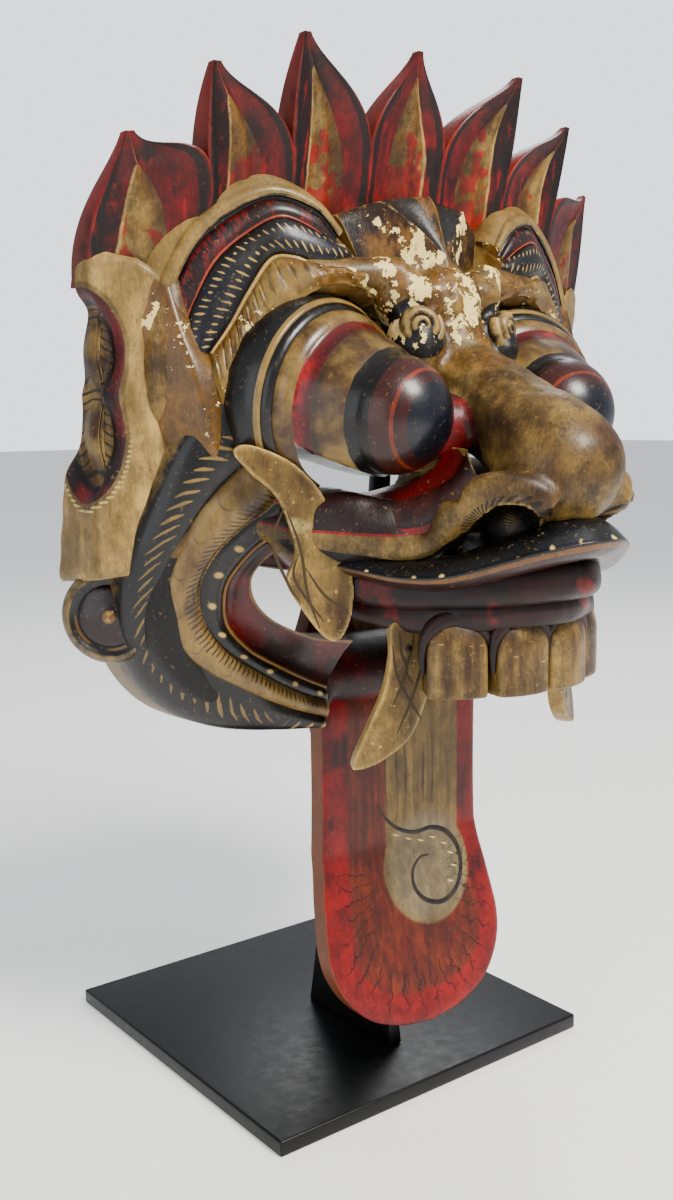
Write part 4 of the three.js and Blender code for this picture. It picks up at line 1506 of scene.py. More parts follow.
            Workshop.reshape(tooth, settle)
            wide = self.half + 1.4
            hoop = [(wide, self.high - self.half - 9),
                    *[(wide * math.cos(t),
                       self.high - self.half + wide * math.sin(t)) for t in turns[1:-1:2]],
                       (-wide, self.high - self.half - 9)]
            arch = settle(np.array([(u, 2.6 - self.thick / 2, v) for u, v in hoop]))
            gum = Workshop.roll([tuple(p) for p in arch], [1.2, 3.8, 5.0, 3.8, 1.2])
            gum.name = gum.data.name = f"gum_arch_left_{number + 1}"
            self.pair(gum, gums, 60)
            tooth.name = tooth.data.name = f"tooth_left_{number + 1}"
            self.pair(tooth, bone, 60)


@dataclass
class Tongue(Assembly):
    """The long flat tongue, broad and round below, curling a little forward."""

    half: float = 50.5
    flare: float = 56.5
    thick: float = 9.0
    bottom: float = 35.0
    top: float = 258.0
    middle: float = -66.0
    curl: float = 24.0
    bend: float = 125.0
    spiral: tuple = ((-18, 145), (-13, 137.6), (-5, 130.5), (6.4, 126), (18.3, 126), (28, 122),
                     (34.4, 113.5), (35, 103), (29.3, 93), (19, 88.6), (8, 91.4), (1.6, 99), (2, 107.4),
                     (7.6, 112.6), (14, 113))
    dots: tuple = ((-6, 127), (2.5, 123.4), (10.2, 121), (18.6, 120.8), (25.6, 116.3), (29.4, 110.6),
                   (30, 104), (26, 97))

    def outline(self) -> np.ndarray:
        """The right edge, from the root down to the tip."""
        h, f, low = self.half, self.flare, self.bottom
        edge = [(26, self.top), (35, 242), (45, 226), (h, 206), (h, 180), (h, 150), (h + 1, 120),
                (h + 3.5, 102), (f - 0.6, 86), (f, 76), (f - 2, 65), (f - 8, 54), (f - 19, 43.6),
                (f - 34, low + 2.4), (11, low + 0.3), (1.5, low)]
        return smooth_loop(edge, 10, closed=False)

    def bow(self, z: np.ndarray) -> np.ndarray:
        """How far the tongue's middle plane lies from its place, along y."""
        below = np.clip(self.bend - z, 0, None) / (self.bend - self.bottom)
        above = np.clip(z - 190, 0, None) / 36
        return -self.curl * below**1.1 + 22 * np.minimum(above, 1) ** 2 + 14 * np.clip(above - 1, 0, None)

    def paint(self) -> bpy.types.Material:
        """Crimson border, a zone of bare red-brown wood and a pale middle, with fine black hairlines."""
        finish = self.finish("tongue_paint", rough=0.46, coat=0.1, relief=0.5, dirt=0.6, wear=0.15)
        b = finish.b
        up, rim = finish.along, finish.wavy(finish.across, 0.35)
        split = b.node("ShaderNodeSeparateXYZ")
        b.feed(split.inputs[0], finish.place)
        x, z = split.outputs[0], split.outputs[2]
        wood = b.noise(b.stretch(finish.place, (220.0, 220.0, 18.0)), 1.0, 4.0)
        red = b.blend(Pigment.CRIMSON, Pigment.MAROON, b.step(wood, 0.52, 0.25))
        red = b.blend(red, Pigment.SCARLET, finish.cloud(34.0, 3.0, 0.48, 0.15), 0.75)
        brown = b.blend(ink(160, 88, 50), ink(122, 62, 38), b.step(wood, 0.5, 0.4))
        brown = b.blend(brown, Pigment.CRIMSON, finish.cloud(52.0, 3.0, 0.60, 0.1), 0.35)
        pale = b.blend(Pigment.BONE, Pigment.BONE_DARK, b.step(wood, 0.55, 0.5), 0.7)
        paint = b.blend(red, brown, b.step(rim, 1.45, 0.25))
        off = b.minus(x, 0.012)
        ball = b.number("SQRT", b.number("ADD", b.times(off, off),
                                         b.number("POWER", b.minus(z, 0.108), 2.0)))
        strip = b.times(b.step(b.minus(0.0245, b.number("ABSOLUTE", off)), 0.0, 0.0016),
                        b.step(z, 0.108, 0.002))
        middle = b.number("MAXIMUM", strip, b.step(b.minus(0.0285, ball), 0.0, 0.002))
        grey = b.blend(pale, ink(176, 172, 158), b.step(b.minus(0.027, ball), 0.0, 0.012), 0.4)
        paint = b.blend(paint, grey, middle)
        glow = b.times(b.rest(b.step(z, 0.085, 0.05)), b.rest(b.step(rim, 1.5, 0.3)))
        paint = b.blend(paint, ink(178, 26, 34), glow, 0.6)
        turn = b.number("ARCTAN2", x, b.minus(0.104, z))
        rays = finish.dashes(Along=b.times(turn, 0.5), Across=rim, Pitch=0.085, Width=0.17, Slant=0.012,
                             From=0.12, To=3.3, Wobble=1.5)
        low = b.rest(b.step(z, 0.118, 0.012))
        paint = b.blend(paint, Pigment.SOOT, b.times(rays, low), 0.85)
        side = finish.dashes(Along=b.times(x, 6.0), Across=up, Pitch=0.036, Width=0.2, Slant=0.01,
                             From=1.28, To=1.9, Wobble=1.3)
        near = b.rest(b.step(b.number("ABSOLUTE", x), 0.020, 0.004))
        paint = b.blend(paint, Pigment.SOOT, b.times(side, near), 0.7)
        paint = b.blend(paint, Pigment.CRIMSON, b.step(finish.across, 7.0, 1.0))
        return finish.close(paint, flakes=0.10)

    def build(self) -> None:
        """Cuts, bends and paints the tongue."""
        edge = self.outline()
        reach = reach_of(edge)
        even = np.concatenate([np.linspace(0, reach[-1] - 22, 120, endpoint=False),
                               np.linspace(reach[-1] - 22, reach[-1], 22)])
        half = np.interp(even, reach, edge[:, 0])
        z = np.interp(even, reach, edge[:, 1])
        across = np.concatenate([[-1, -0.985], np.linspace(-0.96, 0.96, 57), [0.985, 1]])
        x = half[:, None] * across[None]
        zz = np.repeat(z[:, None], len(across), axis=1)
        distance = np.minimum(*[gap(np.stack([x * side, zz], axis=2), edge) for side in (1, -1)])
        ease = 1.6 * np.exp(-distance / 1.2)
        dish = -1.6 * np.clip(1 - (np.abs(across) / 0.9) ** 2, 0, 1)[None]
        y = self.middle - self.thick / 2 + self.bow(zz) + ease + dish * 0.6
        face = np.stack([x, y, zz], axis=2)
        lanes = np.stack([zz, distance * 0.1], axis=2)
        self.done(backed("tongue", face, lanes, self.thick), self.paint(), angle=45)
        line = self.finish("tongue_line", rough=0.5, relief=0.1, dirt=0.15, wear=0.1)
        self.done(self.stroke("tongue_spiral", self.spiral, 3.0), line.close(Pigment.NAVY), angle=60)
        pale = self.finish("tongue_dots", rough=0.5, relief=0.1, dirt=0.3, wear=0.1).close(Pigment.CREAM)
        dots = [self.stroke("dot", [(u - 2.0, v + 0.9), (u, v), (u + 2.0, v - 0.5)], 1.0) for u,
                v in self.dots]
        self.done(Workshop.join(dots, "tongue_dots"), pale, angle=60)

    def stroke(self, name: str, line: Sequence[tuple], width: float) -> bpy.types.Object:
        """A brush stroke on the tongue's face, thin at its start and its end.

        Args:
            name: its name.
            line: its points across and up the tongue.
            width: its greatest width.
        Returns:
            The stroke.
        """
        path, across, share = brushed(line)
        reach = width * (0.25 + 0.75 * np.sin(math.pi * np.clip(share * 0.9 + 0.06, 0, 1)))
        across = across * reach[:, None] / 2
        rows = []
        for side, lift in ((-1, 0.0), (-0.6, 0.22), (0.6, 0.22), (1, 0.0), (0, -0.7)):
            p = path + across * side
            y = self.middle - self.thick / 2 + self.bow(p[:, 1]) - 0.96 * (1 - (p[:, 0] / 48) ** 2) - lift
            rows.append(np.stack([p[:, 0], y, p[:, 1]], axis=1))
        return skin(name, np.stack(rows, axis=1), np.zeros((len(path), 5, 2)), 5)


@dataclass
class Boards(Assembly):
    """Tusks and fangs: flat boards let into the mask and nailed."""

    tusk: tuple = ((34, 324), (27, 327), (10, 320), (-3, 307), (-13, 286), (-17, 267), (-16, 252),
                   (-11, 242), (-4, 243), (6, 256), (12, 268), (8, 281), (15, 303), (27, 315))
    fang: tuple = ((-4, 249), (-18, 249), (-25, 240), (-23, 228), (-19, 214), (-12, 198), (0, 188),
                   (11, 184), (14, 187), (6, 205), (0, 219), (-3, 234))
    tusk_at: tuple = (80, -104)
    fang_at: tuple = (58, -124)
    turn: float = 30.0
    tusk_thick: float = 9.0
    fang_thick: float = 8.0
    tusk_veins: tuple = (((12, 300), (6, 282), (3, 262), (-2, 247)),
                         ((13, 300), (18, 285), (12, 268), (6, 258)),
                         ((7, 280), (9, 270), (2, 258), (-4, 250)),
                         ((4, 274), (-4, 262), (-12, 256), (-15, 253)))
    fang_veins: tuple = (((-21, 246), (-17, 230), (-12, 214), (-6, 200)),
                         ((-14, 247), (-12, 236), (-10, 228), (-13, 222)),
                         ((-7, 246), (-8, 236), (-10, 228), (-4, 212)),
                         ((-4, 240), (-6, 226), (-12, 214), (-17, 206)))

    def place(self, p: np.ndarray, at: tuple) -> np.ndarray:
        """Turns a board to face outward at its place.

        Args:
            p: the board's points, along, deep and up.
            at: x and y of its axis.
        Returns:
            The places.
        """
        a = math.radians(self.turn)
        return np.stack([at[0] + p[:, 0] * math.cos(a) - p[:, 1] * math.sin(a),
                         at[1] + p[:, 0] * math.sin(a) + p[:, 1] * math.cos(a), p[:, 2]], axis=1)

    def paint(self) -> bpy.types.Material:
        """Bone paint, paler along the edges."""
        finish = self.finish("board_paint", rough=0.45, coat=0.1, relief=0.45, dirt=0.75, wear=0.8)
        b = finish.b
        bone = b.blend(Pigment.BONE, Pigment.BONE_DARK, finish.streak((60.0, 60.0, 26.0), 4.0, 0.55, 0.35))
        bone = b.blend(bone, Pigment.BONE_PALE, finish.mark("rim"))
        bone = b.blend(bone, Pigment.CREAM, finish.mark("repair"), finish.cloud(300.0, 3.0, 0.42, 0.1))
        return finish.close(bone, bare=Pigment.CREAM)

    def board(self, name: str, outline: tuple, at: tuple, thick: float, repair: Point) -> bpy.types.Object:
        """One board with soft edges.

        Args:
            name: its name.
            outline: its outline along the board and up.
            at: x and y of its axis.
            thick: its thickness.
            repair: along, up and reach of a chipped, filled place.
        Returns:
            The board.
        """
        cut = smooth_loop(outline, 12)
        piece = Workshop.plank(cut, thick, 0.9)
        Workshop.apply(piece, "SMOOTH", factor=0.5, iterations=4)
        p = Workshop.points(piece)
        inside = gap(p[:, [0, 2]], np.vstack([cut, cut[:1]]))
        rim = np.clip(1.2 - inside / 1.6, 0, 1)
        near = np.clip(1.4 - np.hypot((p[:, 0] - repair[0]) / repair[2],
                                      (p[:, 2] - repair[1]) / (repair[2] * 0.35)), 0, 1)
        Workshop.note(piece, {"rim": rim, "repair": near})
        Workshop.place(piece, self.place(p, at))
        piece.name = piece.data.name = name
        return piece

    def vein(self, line: Sequence[tuple], at: tuple, front: float, width: float) -> bpy.types.Object:
        """One thin painted line on a board's face, drawn to a point at both ends.

        Args:
            line: its points along the board and up.
            at: x and y of the board's axis.
            front: where the board's face lies, along its own depth.
            width: half the line's greatest width.
        Returns:
            The line.
        """
        path, across, share = brushed(line)
        reach = width * np.sqrt(np.sin(np.pi * np.clip(share, 0.02, 0.98)))
        sides = [path + across * reach[:, None] * s for s in (-1, 1)]
        rows = []
        for flat, lift in ((sides[0], 0.0), (sides[0] * 0.5 + sides[1] * 0.5, 0.16), (sides[1], 0.0)):
            rows.append(self.place(np.stack([flat[:, 0], np.full(len(flat), front - 0.05 - lift),
                                             flat[:, 1]], axis=1), at))
        back = self.place(np.stack([path[:, 0], np.full(len(path), front + 0.3), path[:, 1]], axis=1), at)
        loops = np.stack([*rows, back], axis=1)
        return skin("vein", loops, np.zeros((*loops.shape[:2], 2)), 3)

    def build(self) -> None:
        """Makes both pairs, their lines and their nails."""
        paint = self.paint()
        line = self.finish("line_paint", rough=0.5, relief=0.1, dirt=0.2, wear=0.1).close(Pigment.SOOT)
        nail = self.finish("nail_iron", rough=0.5, relief=0.5, dirt=0.5, wear=0.2).close(Pigment.UMBER)
        plan = (("tusk", self.tusk, self.tusk_at, self.tusk_thick, (12, 292, 9), self.tusk_veins),
                ("fang", self.fang, self.fang_at, self.fang_thick, (-40, 0, 1), self.fang_veins))
        for kind, outline, at, thick, repair, veins in plan:
            board = self.board(f"{kind}_board_left", outline, at, thick, repair)
            lines = [self.vein(v, at, -thick / 2, 0.7) for v in veins]
            marks = Workshop.join(lines, f"{kind}_lines_left")
            self.pair(board, paint, stands_for=kind)
            self.pair(marks, line)
        head = self.place(np.array([[-11.0, -4.0, 238.0], [-11.0, -6.0, 238.0]]), self.fang_at)
        for sign, name in ((1, "fang_nail_left"), (-1, "fang_nail_right")):
            flip = np.array([sign, 1, 1])
            profile = [(0.01, -2, 0), (1.7, -2, 0), (1.8, 0.2, 0), (1.4, 0.7, 0), (0.7, 0.95, 0),
                       (0.01, 1.0, 0)]
            self.done(spun(name, profile, tuple(head[0] * flip), tuple(head[1] * flip), 20), nail)


@dataclass
class Forehead(Assembly):
    """The faceted jewel over the nose's root and the dark volutes at the eyes' inner corners."""

    top: float = 439.0
    low: float = 388.0
    half: float = 43.0

    def jewel_paint(self) -> bpy.types.Material:
        """Dark blue-green facets, gilded flanks and heavy cream flaking."""
        finish = self.finish("jewel_paint", rough=0.44, coat=0.12, relief=0.7, dirt=1.0, wear=0.7)
        b = finish.b
        down, zone = finish.along, finish.wavy(finish.across, 0.16)
        gold = b.blend(Pigment.OCHRE, ink(84, 56, 22), finish.streak((60.0, 60.0, 34.0), 4.0, 0.5, 0.12))
        tan = b.blend(Pigment.BONE, Pigment.OCHRE, finish.cloud(80.0, 4.0, 0.55, 0.2))
        paint = b.blend(gold, tan, b.step(finish.wavy(down, 0.1), 0.60, 0.12))
        green = b.blend(ink(50, 62, 60), ink(26, 42, 46), finish.cloud(60.0, 4.0, 0.5, 0.2))
        facet = b.times(b.band(zone, 0.22, 0.93, 0.04), b.rest(b.step(finish.wavy(down, 0.2), 0.46, 0.05)))
        paint = b.blend(paint, green, facet, 0.94)
        flakes = b.number("MULTIPLY_ADD", b.band(zone, 0.95, 1.5, 0.1), 0.16, 0.20)
        return finish.close(paint, flakes=flakes, flake_scale=62.0)

    def jewel(self) -> bpy.types.Object:
        """The jewel: two hollow facets under its top edge, between two diagonal ridges."""
        share = np.linspace(0, 1, 90)[:, None]
        width = self.half * (1 - 0.36 * share)
        ridge = np.maximum(25 * (1 - share / 0.54), 0) + 0.6
        x = np.linspace(-1, 1, 121)[None] * width
        z = self.top - 0.0055 * x**2 - (self.top - self.low) * share
        inside = np.minimum(np.abs(x), ridge)
        beyond = np.clip(np.abs(x) - ridge, 0, None)
        front = -92 - 22 * share * (1 - 0.25 * share)
        within = np.abs(x) < ridge
        arc = np.sin(math.pi * np.clip(np.abs(x) / ridge, 0, 1)) ** 0.8
        dip = 5.0 * np.clip(ridge / 25, 0, 1) * arc * within
        fold = 1.6 * np.sin(beyond / np.maximum(width - ridge, 1) * math.pi) * (1 - share)
        top_ease = 2.2 * np.exp(-share * 51 / 1.6)
        y = front + 0.18 * inside + (0.62 - 0.1 * share) * beyond + dip + fold + top_ease
        zone = np.where(within, np.abs(x) / ridge, 1 + beyond / np.maximum(width - ridge, 1))
        lanes = np.stack([np.repeat(share * 100, x.shape[1], axis=1), zone], axis=2)
        return backed("forehead_jewel", np.stack([x, y, z], axis=2), lanes, 24.0, 2.0)

    def volute(self) -> bpy.types.Object:
        """The left volute: a ribbon rolled up in a bed of dark wood."""
        first = 2.6
        turn = np.linspace(0, 2.3 * math.tau, 60)
        reach = 9.5 * (1 - turn / turn[-1] * 0.86)
        side, up = np.array((0.86, 0.42, 0.0)), np.array((0.0, 0.12, 0.99))
        heart = np.array((25.0, -112.5, 377.5))
        out = np.array((0.42, -0.88, 0.1))
        away = np.cos(turn + first)[:, None] * side + np.sin(turn + first)[:, None] * up
        centre = heart + reach[:, None] * away + out * (turn / turn[-1] * 3.5)[:, None]
        radii = np.interp(turn, [0, 2, turn[-1]], [1.6, 3.4, 1.8])
        ring = np.linspace(0, math.tau, 12, endpoint=False)
        loops = []
        for p, way, r in zip(centre, away, radii):
            loops.append([p + r * (math.cos(a) * way + 1.4 * math.sin(a) * out) for a in ring])
        lanes = np.stack(np.meshgrid(np.arange(60.0), np.arange(12.0), indexing="ij"), axis=2)
        return skin("volute_left", np.array(loops), lanes, 12)

    def volute_paint(self) -> bpy.types.Material:
        """Black-green with a bone-coloured crest."""
        finish = self.finish("volute_paint", rough=0.4, coat=0.2, relief=0.4, dirt=0.7, wear=0.9)
        b = finish.b
        crest = b.band(finish.wavy(finish.across, 0.8), 1.9, 3.1, 0.3)
        return finish.close(b.blend(Pigment.SOOT, Pigment.BONE, crest, 0.5))

    def build(self) -> None:
        """Makes the jewel and both volutes."""
        self.done(self.jewel(), self.jewel_paint(), angle=32)
        self.pair(self.volute(), self.volute_paint(), 60)


@dataclass
class Lids(Assembly):
    """The lower lids: maroon crescents under the eyes' slits, with a bright red lower edge."""

    guides: tuple = (
        ((100, -72, 324), (90, -80, 317), (80, -88, 311), (68, -104, 306), (55, -114, 305), (43, -124, 309),
         (35, -132, 316), (29, -134, 325)),
        ((101, -77, 323), (91, -85, 316), (80, -94, 309.5), (68, -115, 303.6), (55, -125, 302.6),
         (43, -136, 307), (34.5, -144.5, 314), (28, -146, 324)),
        ((102, -78, 313), (92, -86, 305), (81, -96, 298), (68, -122, 291.6), (56, -135, 288.8),
         (46, -146, 292), (38, -153, 300), (31, -156, 312)),
        ((102, -77, 311), (92, -85, 303), (81, -95, 296), (68, -121, 289.8), (56, -134, 287),
         (45, -146, 290), (36.5, -154, 299), (29.5, -157, 311)),
        ((100, -70, 306), (90, -79, 298), (79, -90, 291), (66, -108, 285), (54, -121, 283), (42, -132, 286),
         (34, -140, 295), (27, -144, 306)),
    )

    def build(self) -> None:
        """Carves the left lid and copies it to the right."""
        finish = self.finish("lid_paint", rough=0.42, coat=0.2, relief=0.45, dirt=0.8, wear=0.5)
        b = finish.b
        lane = finish.wavy(finish.across, 0.12)
        skin_red = b.blend(Pigment.MAROON, ink(112, 62, 50), finish.cloud(58.0, 4.0, 0.52, 0.2))
        paint = b.ramp(b.number("DIVIDE", lane, 10.0),
                       [(0.0, Pigment.CRIMSON), (0.11, Pigment.MAROON), (0.19, Pigment.SCARLET),
                        (0.32, Pigment.UMBER)])
        paint = b.blend(paint, skin_red, b.band(lane, 1.1, 1.85, 0.06))
        material = finish.close(paint, flakes=0.06)
        face, lanes = lofted(self.guides, 90, 8, (0.3, 2.6, 0.4, 0.4))
        self.pair(backed("lid_left", face, lanes, 8.0, 0.0), material, 45)


@dataclass
class Head(Assembly):
    """The block that all the rest is carved on: forehead, cheeks, nose and the hollow behind."""

    grain: float = 1.7
    front: float = -76.0
    curve: float = 0.0013

    def block(self) -> bpy.types.Object:
        """The head's block with its curved front."""
        right = [(60, 420), (96, 418), (116, 402), (126, 372), (124, 320), (112, 290), (80, 270)]
        outline = smooth_loop([(0, 422), *right, (0, 262), *[(-x, z) for x, z in reversed(right)]], 8)
        board = Workshop.plank(outline, 150, 4.0)

        def curve(p: np.ndarray) -> np.ndarray:
            """Bends the front to the head's curve."""
            face = self.front + self.curve * p[:, 0] ** 2
            share = (75 - p[:, 1]) / 150
            return np.stack([p[:, 0], 40 + (face - 40) * share, p[:, 2]], axis=1)

        return Workshop.reshape(board, curve)

    def lumps(self) -> list:
        """Every lump and roll of the carved front, the sides made twice."""
        w = Workshop
        middle = [
            w.egg((0, -88, 288), (88, 62, 32)),
            w.roll([(0, -100, 372), (0, -113, 354), (0, -134, 341), (0, -152, 332), (0, -173, 317)],
                   [18, 20, 22, 24, 27]),
            w.egg((0, -172.5, 317), (27.5, 29, 27)), w.egg((0, -100, 374), (18, 18, 18)),
            w.egg((0, -160, 300), (13, 34, 14)), w.egg((0, -135, 282), (44, 40, 16)),
            w.egg((0, -97, 384), (20, 19, 24)),
            w.egg((0, -52, 214), (78, 26, 19), (10, 0, 0)),
        ]
        side = [
            w.egg((58, -98, 298), (28, 26, 14), (0, 10, 30)),
            w.roll([(43, -146, 285), (43, -155, 297), (39, -165, 305.5), (32, -175, 309), (26, -184, 307.5),
                    (20, -190, 302)], [6.5, 8.6, 8.6, 7.4, 6.2, 5]),
            w.roll([(106, -60, 300), (93, -75, 294), (82, -87, 289), (73, -99, 286), (65, -114, 283.5),
                    (56, -130, 281.5), (46, -143, 284), (40, -150, 292)], [7, 8, 8, 7.5, 7, 6, 5]),
            w.roll([(106, -58, 312), (94, -71, 304), (80, -85, 298), (66, -100, 295), (50, -115, 296),
                    (38, -122, 306), (28, -120, 324)], [5, 6, 7, 8, 8, 7, 5]),
            w.egg((25, -124, 333), (13, 17, 17)),
            w.egg((22, -96, 392), (14, 14, 14)), w.egg((24, -106, 368), (12, 15, 17)),
            w.egg((25, -166, 300), (18, 23, 13), (0, 0, 20)),
            w.egg((122, -56, 366), (12, 12, 36), (0, -4, 24)), w.egg((116, -46, 300), (20, 20, 40)),
            w.roll([(24, -98, 402), (50, -88, 400), (71, -83, 398), (86, -77, 386), (96, -74, 366)],
                   [8, 9, 9, 8, 7]),
            w.roll([(100, -62, 300), (113, -58, 288), (120, -52, 272), (121, -48, 250), (113, -44, 230),
                    (88, -50, 212), (44, -60, 204)], [14] * 3),
            w.roll([(118, -40, 300), (124, -34, 270), (122, -28, 246), (110, -32, 226), (86, -40, 214),
                    (40, -46, 212)], [13] * 3),
        ]
        return [*middle, *side, *[w.mirror(lump) for lump in side]]

    def tools(self) -> list:
        """The cutting shapes: hollow, eye slits, mouth, nostrils and the sawn back."""
        w = Workshop
        one = [w.egg(*SOCKET), w.egg((32, -175, 291), (13, 18, 13), (0, 0, 26))]
        one.append(eye_slit())
        tools = [w.egg(*HOLLOW), w.egg((0, -20, 256), (92, 66, 24)), *one, *[w.mirror(t) for t in one]]
        w.deselect()
        bpy.ops.mesh.primitive_cube_add(size=1)
        saw = bpy.context.object
        saw.scale = (0.6, 0.3, 1.0)
        saw.rotation_euler.x = math.atan(BACK_LEAN)
        saw.location = (0, (BACK_Y + 150 / math.cos(math.atan(BACK_LEAN))) * MM, BACK_Z * MM)
        tools.append(w.settle(saw))
        return tools

    def paint(self) -> bpy.types.Material:
        """Bone skin, painted shade in the creases and nostrils, red at the eyes' corners, a flaked and
        gilded forehead.
        """
        finish = self.finish("head_paint", rough=0.46, coat=0.08, relief=0.6, dirt=1.0, wear=0.5)
        b = finish.b
        bone = b.blend(Pigment.BONE, Pigment.BONE_DARK, finish.cloud(26.0, 5.0, 0.56, 0.3))
        gilt = b.blend(Pigment.OCHRE, Pigment.BONE, finish.cloud(60.0, 4.0, 0.55, 0.2))
        paint = b.blend(bone, gilt, finish.mark("gilt"))
        red = b.blend(Pigment.CRIMSON, Pigment.SCARLET, finish.cloud(70.0, 3.0, 0.52, 0.1))
        lid = b.blend(Pigment.MAROON, ink(108, 60, 48), finish.cloud(48.0, 3.0, 0.5, 0.2))
        paint = b.blend(paint, lid, b.step(finish.mark("lid"), 0.5, 0.12))
        paint = b.blend(paint, Pigment.SCARLET, b.band(finish.mark("lid"), 0.32, 0.52, 0.06),
                        b.step(finish.mark("lid_low"), 0.5, 0.2))
        paint = b.blend(paint, red, b.step(finish.mark("corner"), 0.5, 0.12))
        hair = finish.dashes(Along=finish.mark("round"), Across=finish.mark("hairs"), Pitch=0.17,
                             Width=0.55, From=0.3, To=1.4, Wobble=0.5)
        paint = b.blend(paint, Pigment.SOOT, hair, 0.9)
        # painted shade: soot in the nostrils and along the crease under the cheek; in the volute's bed it
        # is dark paint
        paint = b.blend(paint, Pigment.SOOT, b.step(finish.mark("dark"), 0.5, 0.14))
        paint = b.blend(paint, b.blend(Pigment.MAROON, Pigment.CRIMSON, finish.cloud(30.0, 3.0, 0.5, 0.2)),
                        b.step(finish.mark("mouth"), 0.5, 0.2))
        paint = b.blend(paint, Pigment.SOOT, b.step(finish.mark("cheek"), 0.5, 0.2))
        paint = b.blend(paint, ink(60, 42, 28), b.step(finish.mark("back"), 0.5, 0.2))
        return finish.close(paint, flakes=b.number("MULTIPLY_ADD", finish.mark("flaked"), 0.26, 0.10),
                            flake_scale=75.0)

    def marks(self, piece: bpy.types.Object) -> None:
        """Writes the painted zones to the mesh, each from 0 to 1 with its border at one half."""
        p = Workshop.points(piece)
        q = p.copy()
        q[:, 0] = np.abs(q[:, 0])

        def near(distance: np.ndarray, reach: float, soft: float = 4.0) -> np.ndarray:
            """1 inside a distance, one half on it, 0 beyond."""
            return np.clip(0.5 + (reach - distance) / soft, 0, 1)

        lid = gap(q, smooth_loop([(104, -74, 314), (92, -86, 308), (80, -100, 304), (66, -118, 302),
                                  (50, -133, 303), (36, -140, 311), (28, -134, 324)], 10, closed=False))
        corner = np.linalg.norm((q - np.array([30, -130, 333])) / np.array([1.0, 1.5, 1.5]), axis=1)
        nostril = np.linalg.norm((q - np.array([31, -174, 290.5])) / np.array([1.42, 1.88, 1.42]), axis=1)
        crease = gap(q, smooth_loop([(98, -84, 284), (84, -100, 280), (68, -122, 275), (56, -137, 273),
                                     (47, -148, 276), (42, -154, 284), (37, -160, 288)], 10, closed=False))
        bed = np.linalg.norm((q - np.array([26, -110, 376])) / np.array([0.9, 1.3, 1.1]), axis=1)
        back = q[:, 1] - sawn(q[:, 2])
        hollow = np.linalg.norm((q - HOLLOW[0]) / np.array(HOLLOW[1]), axis=1)
        zones = {
            "lid": near(lid, 15.0, 5.0), "lid_low": np.clip((q[:, 2] - 296) / -8 + 1.2, 0, 1),
            "corner": near(corner, 12.5, 3.0),
            # dark: painted shade in the nostrils and along the crease under the cheek, and the volute's
            # dark bed
            "dark": np.maximum.reduce([near(nostril, 9.6, 2.0), near(crease, 4.6, 3.0),
                                       near(bed, 13.5, 3.0)]),
            "hairs": near(nostril, 12.6, 1.0),
            "round": np.arctan2(q[:, 2] - 291.5, -(q[:, 1] + 172)),
            "mouth": near(q[:, 2] - 262, 14, 4) * near(q[:, 0], 84, 6),
            "cheek": near(q[:, 2] - 262, 16, 4) * near(-q[:, 0], -84, 6),
            "gilt": np.clip((q[:, 2] - 352) / 14, 0, 1),
            "flaked": np.clip((q[:, 2] - 358) / 16, 0, 1) * np.clip((46 - q[:, 0]) / 12, 0.4, 1),
            "back": np.maximum(near(-back, 6, 4), near(hollow, 1.03, 0.04)),
        }
        Workshop.note(piece, zones)

    def relief(self, piece: bpy.types.Object) -> None:
        """Carves wrinkles over the nose's root and uneven knots above them."""
        p, n = Workshop.points(piece), Workshop.normals(piece)
        x, z = np.abs(p[:, 0]), p[:, 2]
        front = p[:, 1] < -80
        root = np.exp(-(((z - 352) / 16) ** 2) - (x / 26) ** 2) * front
        wrinkle = 1.3 * np.sin(z / 3.0 + 0.02 * x**1.5) * root
        knots = np.exp(-(((z - 384) / 30) ** 2) - (x / 34) ** 2) * front
        rough = np.zeros(len(p))
        rough[front] = [noise.noise(Vector(v) / 7.0) for v in p[front]]
        push = wrinkle + 2.6 * rough * knots
        Workshop.place(piece, p + n * push[:, None])

    def build(self) -> None:
        """Roughs out, cuts, smooths, details and paints the head."""
        w = Workshop
        head = w.join([self.block(), *self.lumps()], "mask")
        w.remesh(head, self.grain)
        w.cut(head, self.tools())
        w.remesh(head, self.grain)
        w.apply(head, "SMOOTH", factor=0.5, iterations=5)
        self.relief(head)
        self.marks(head)
        self.done(head, self.paint(), angle=60, replaces=["mask"])


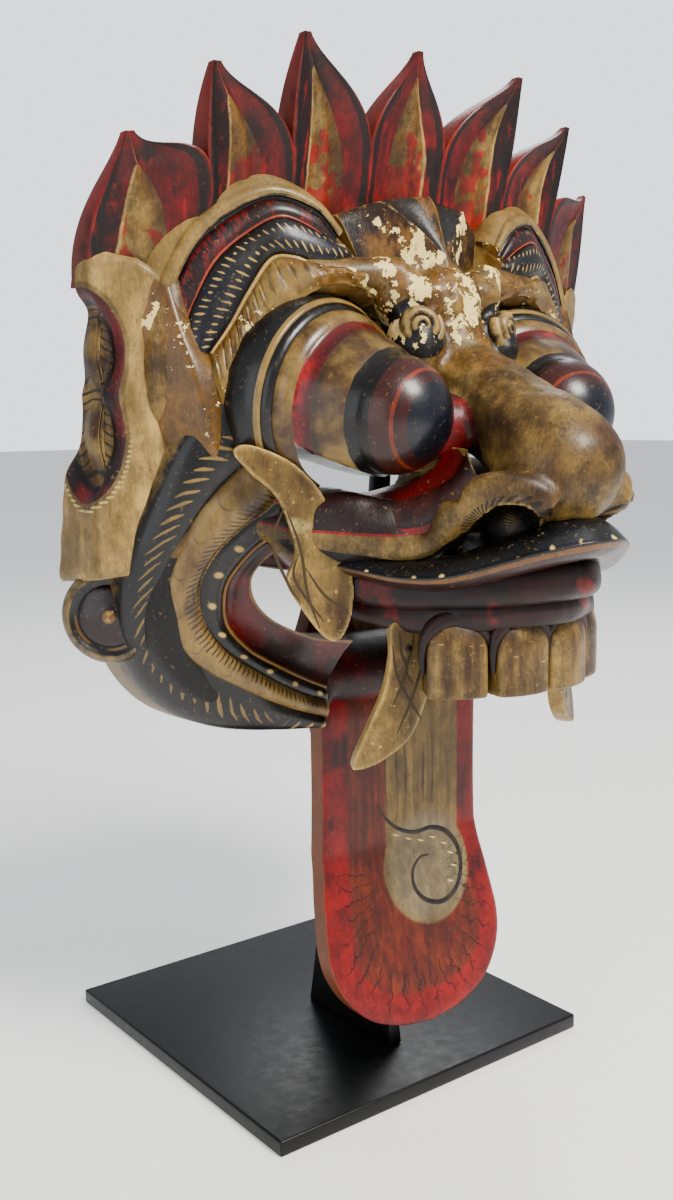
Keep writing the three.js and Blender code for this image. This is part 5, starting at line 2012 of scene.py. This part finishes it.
# ------------------------------------------------------------------------------------------------ studio
@dataclass
class Studio:
    """The floor, the light and the camera."""

    eye: Point = (-0.402, -0.540, 0.339)
    turn: float = 37.5
    down: float = 8.4
    roll: float = -0.6
    lens: float = 37.5
    heart: Point = (0, -0.08, 0.28)

    def floor(self) -> None:
        """A wide plain pale floor."""
        Workshop.deselect()
        bpy.ops.mesh.primitive_plane_add(size=24)
        floor = bpy.context.object
        floor.name = "floor"
        paint = bpy.data.materials.new("pale_floor")
        paint.use_nodes = True
        shader = paint.node_tree.nodes["Principled BSDF"]
        shader.inputs["Base Color"].default_value = (0.86, 0.86, 0.84, 1)
        shader.inputs["Emission Color"].default_value = (0.93, 0.94, 0.95, 1)
        shader.inputs["Emission Strength"].default_value = 0.3
        shader.inputs["Roughness"].default_value = 0.75
        floor.data.materials.append(paint)

    def lamp(self, name: str, at: Point, size: float, power: float, colour: Point = (1, 1, 1)) -> None:
        """A soft square light that points at the mask.

        Args:
            name: its name.
            at: its place, in metres.
            size: its side, in metres.
            power: its power, in watts.
            colour: its colour.
        """
        data = bpy.data.lights.new(name, "AREA")
        data.shape = "SQUARE"
        data.size = size
        data.energy = power
        data.color = colour
        lamp = bpy.data.objects.new(name, data)
        bpy.context.collection.objects.link(lamp)
        lamp.location = at
        lamp.rotation_euler = (Vector(self.heart) - Vector(at)).to_track_quat("-Z", "Y").to_euler()

    def camera(self) -> None:
        """The camera, a little to the mask's right and above it."""
        data = bpy.data.cameras.new("camera")
        data.lens = self.lens
        data.sensor_width = 36
        data.clip_start = 0.01
        camera = bpy.data.objects.new("camera", data)
        bpy.context.collection.objects.link(camera)
        camera.matrix_world = Matrix.Translation(self.eye)
        for degrees, axis in ((-self.turn, "Z"), (90 - self.down, "X"), (self.roll, "Z")):
            camera.matrix_world = camera.matrix_world @ Matrix.Rotation(math.radians(degrees), 4, axis)
        bpy.context.scene.camera = camera

    def build(self) -> None:
        """Sets up the studio."""
        self.camera()
        self.floor()
        world = bpy.data.worlds.new("studio")
        world.use_nodes = True
        sky = world.node_tree.nodes["Background"]
        sky.inputs[0].default_value = (0.80, 0.83, 0.90, 1)
        brush = Brush(world.node_tree)
        seen = brush.node("ShaderNodeLightPath").outputs["Is Camera Ray"]
        brush.feed(sky.inputs[1], brush.number("MULTIPLY_ADD", seen, 1.5, 0.72))
        bpy.context.scene.world = world
        self.lamp("key", (0.1, -1.1, 1.35), 0.5, 48, (1.0, 0.96, 0.90))
        self.lamp("fill", (-1.6, -0.5, 0.6), 1.2, 9, (0.92, 0.95, 1.0))
        self.lamp("rim", (0.9, 0.9, 1.3), 0.8, 12)


def main() -> None:
    """Builds the studio and every sub-assembly in order."""
    logging.basicConfig(level=logging.INFO, format="%(name)s: %(message)s")
    Studio().build()
    effects = Effects()
    for kind in (Stand, Crown, Eyes, Brows, Temples, Jaw, Ears, Mouth, Tongue, Boards, Forehead, Lids,
                 Head):
        assembly = kind(effects)
        assembly.build()
        LOG.info("%s: %d pieces", kind.__name__, len(assembly.pieces))


if __name__ == "__main__":
    main()
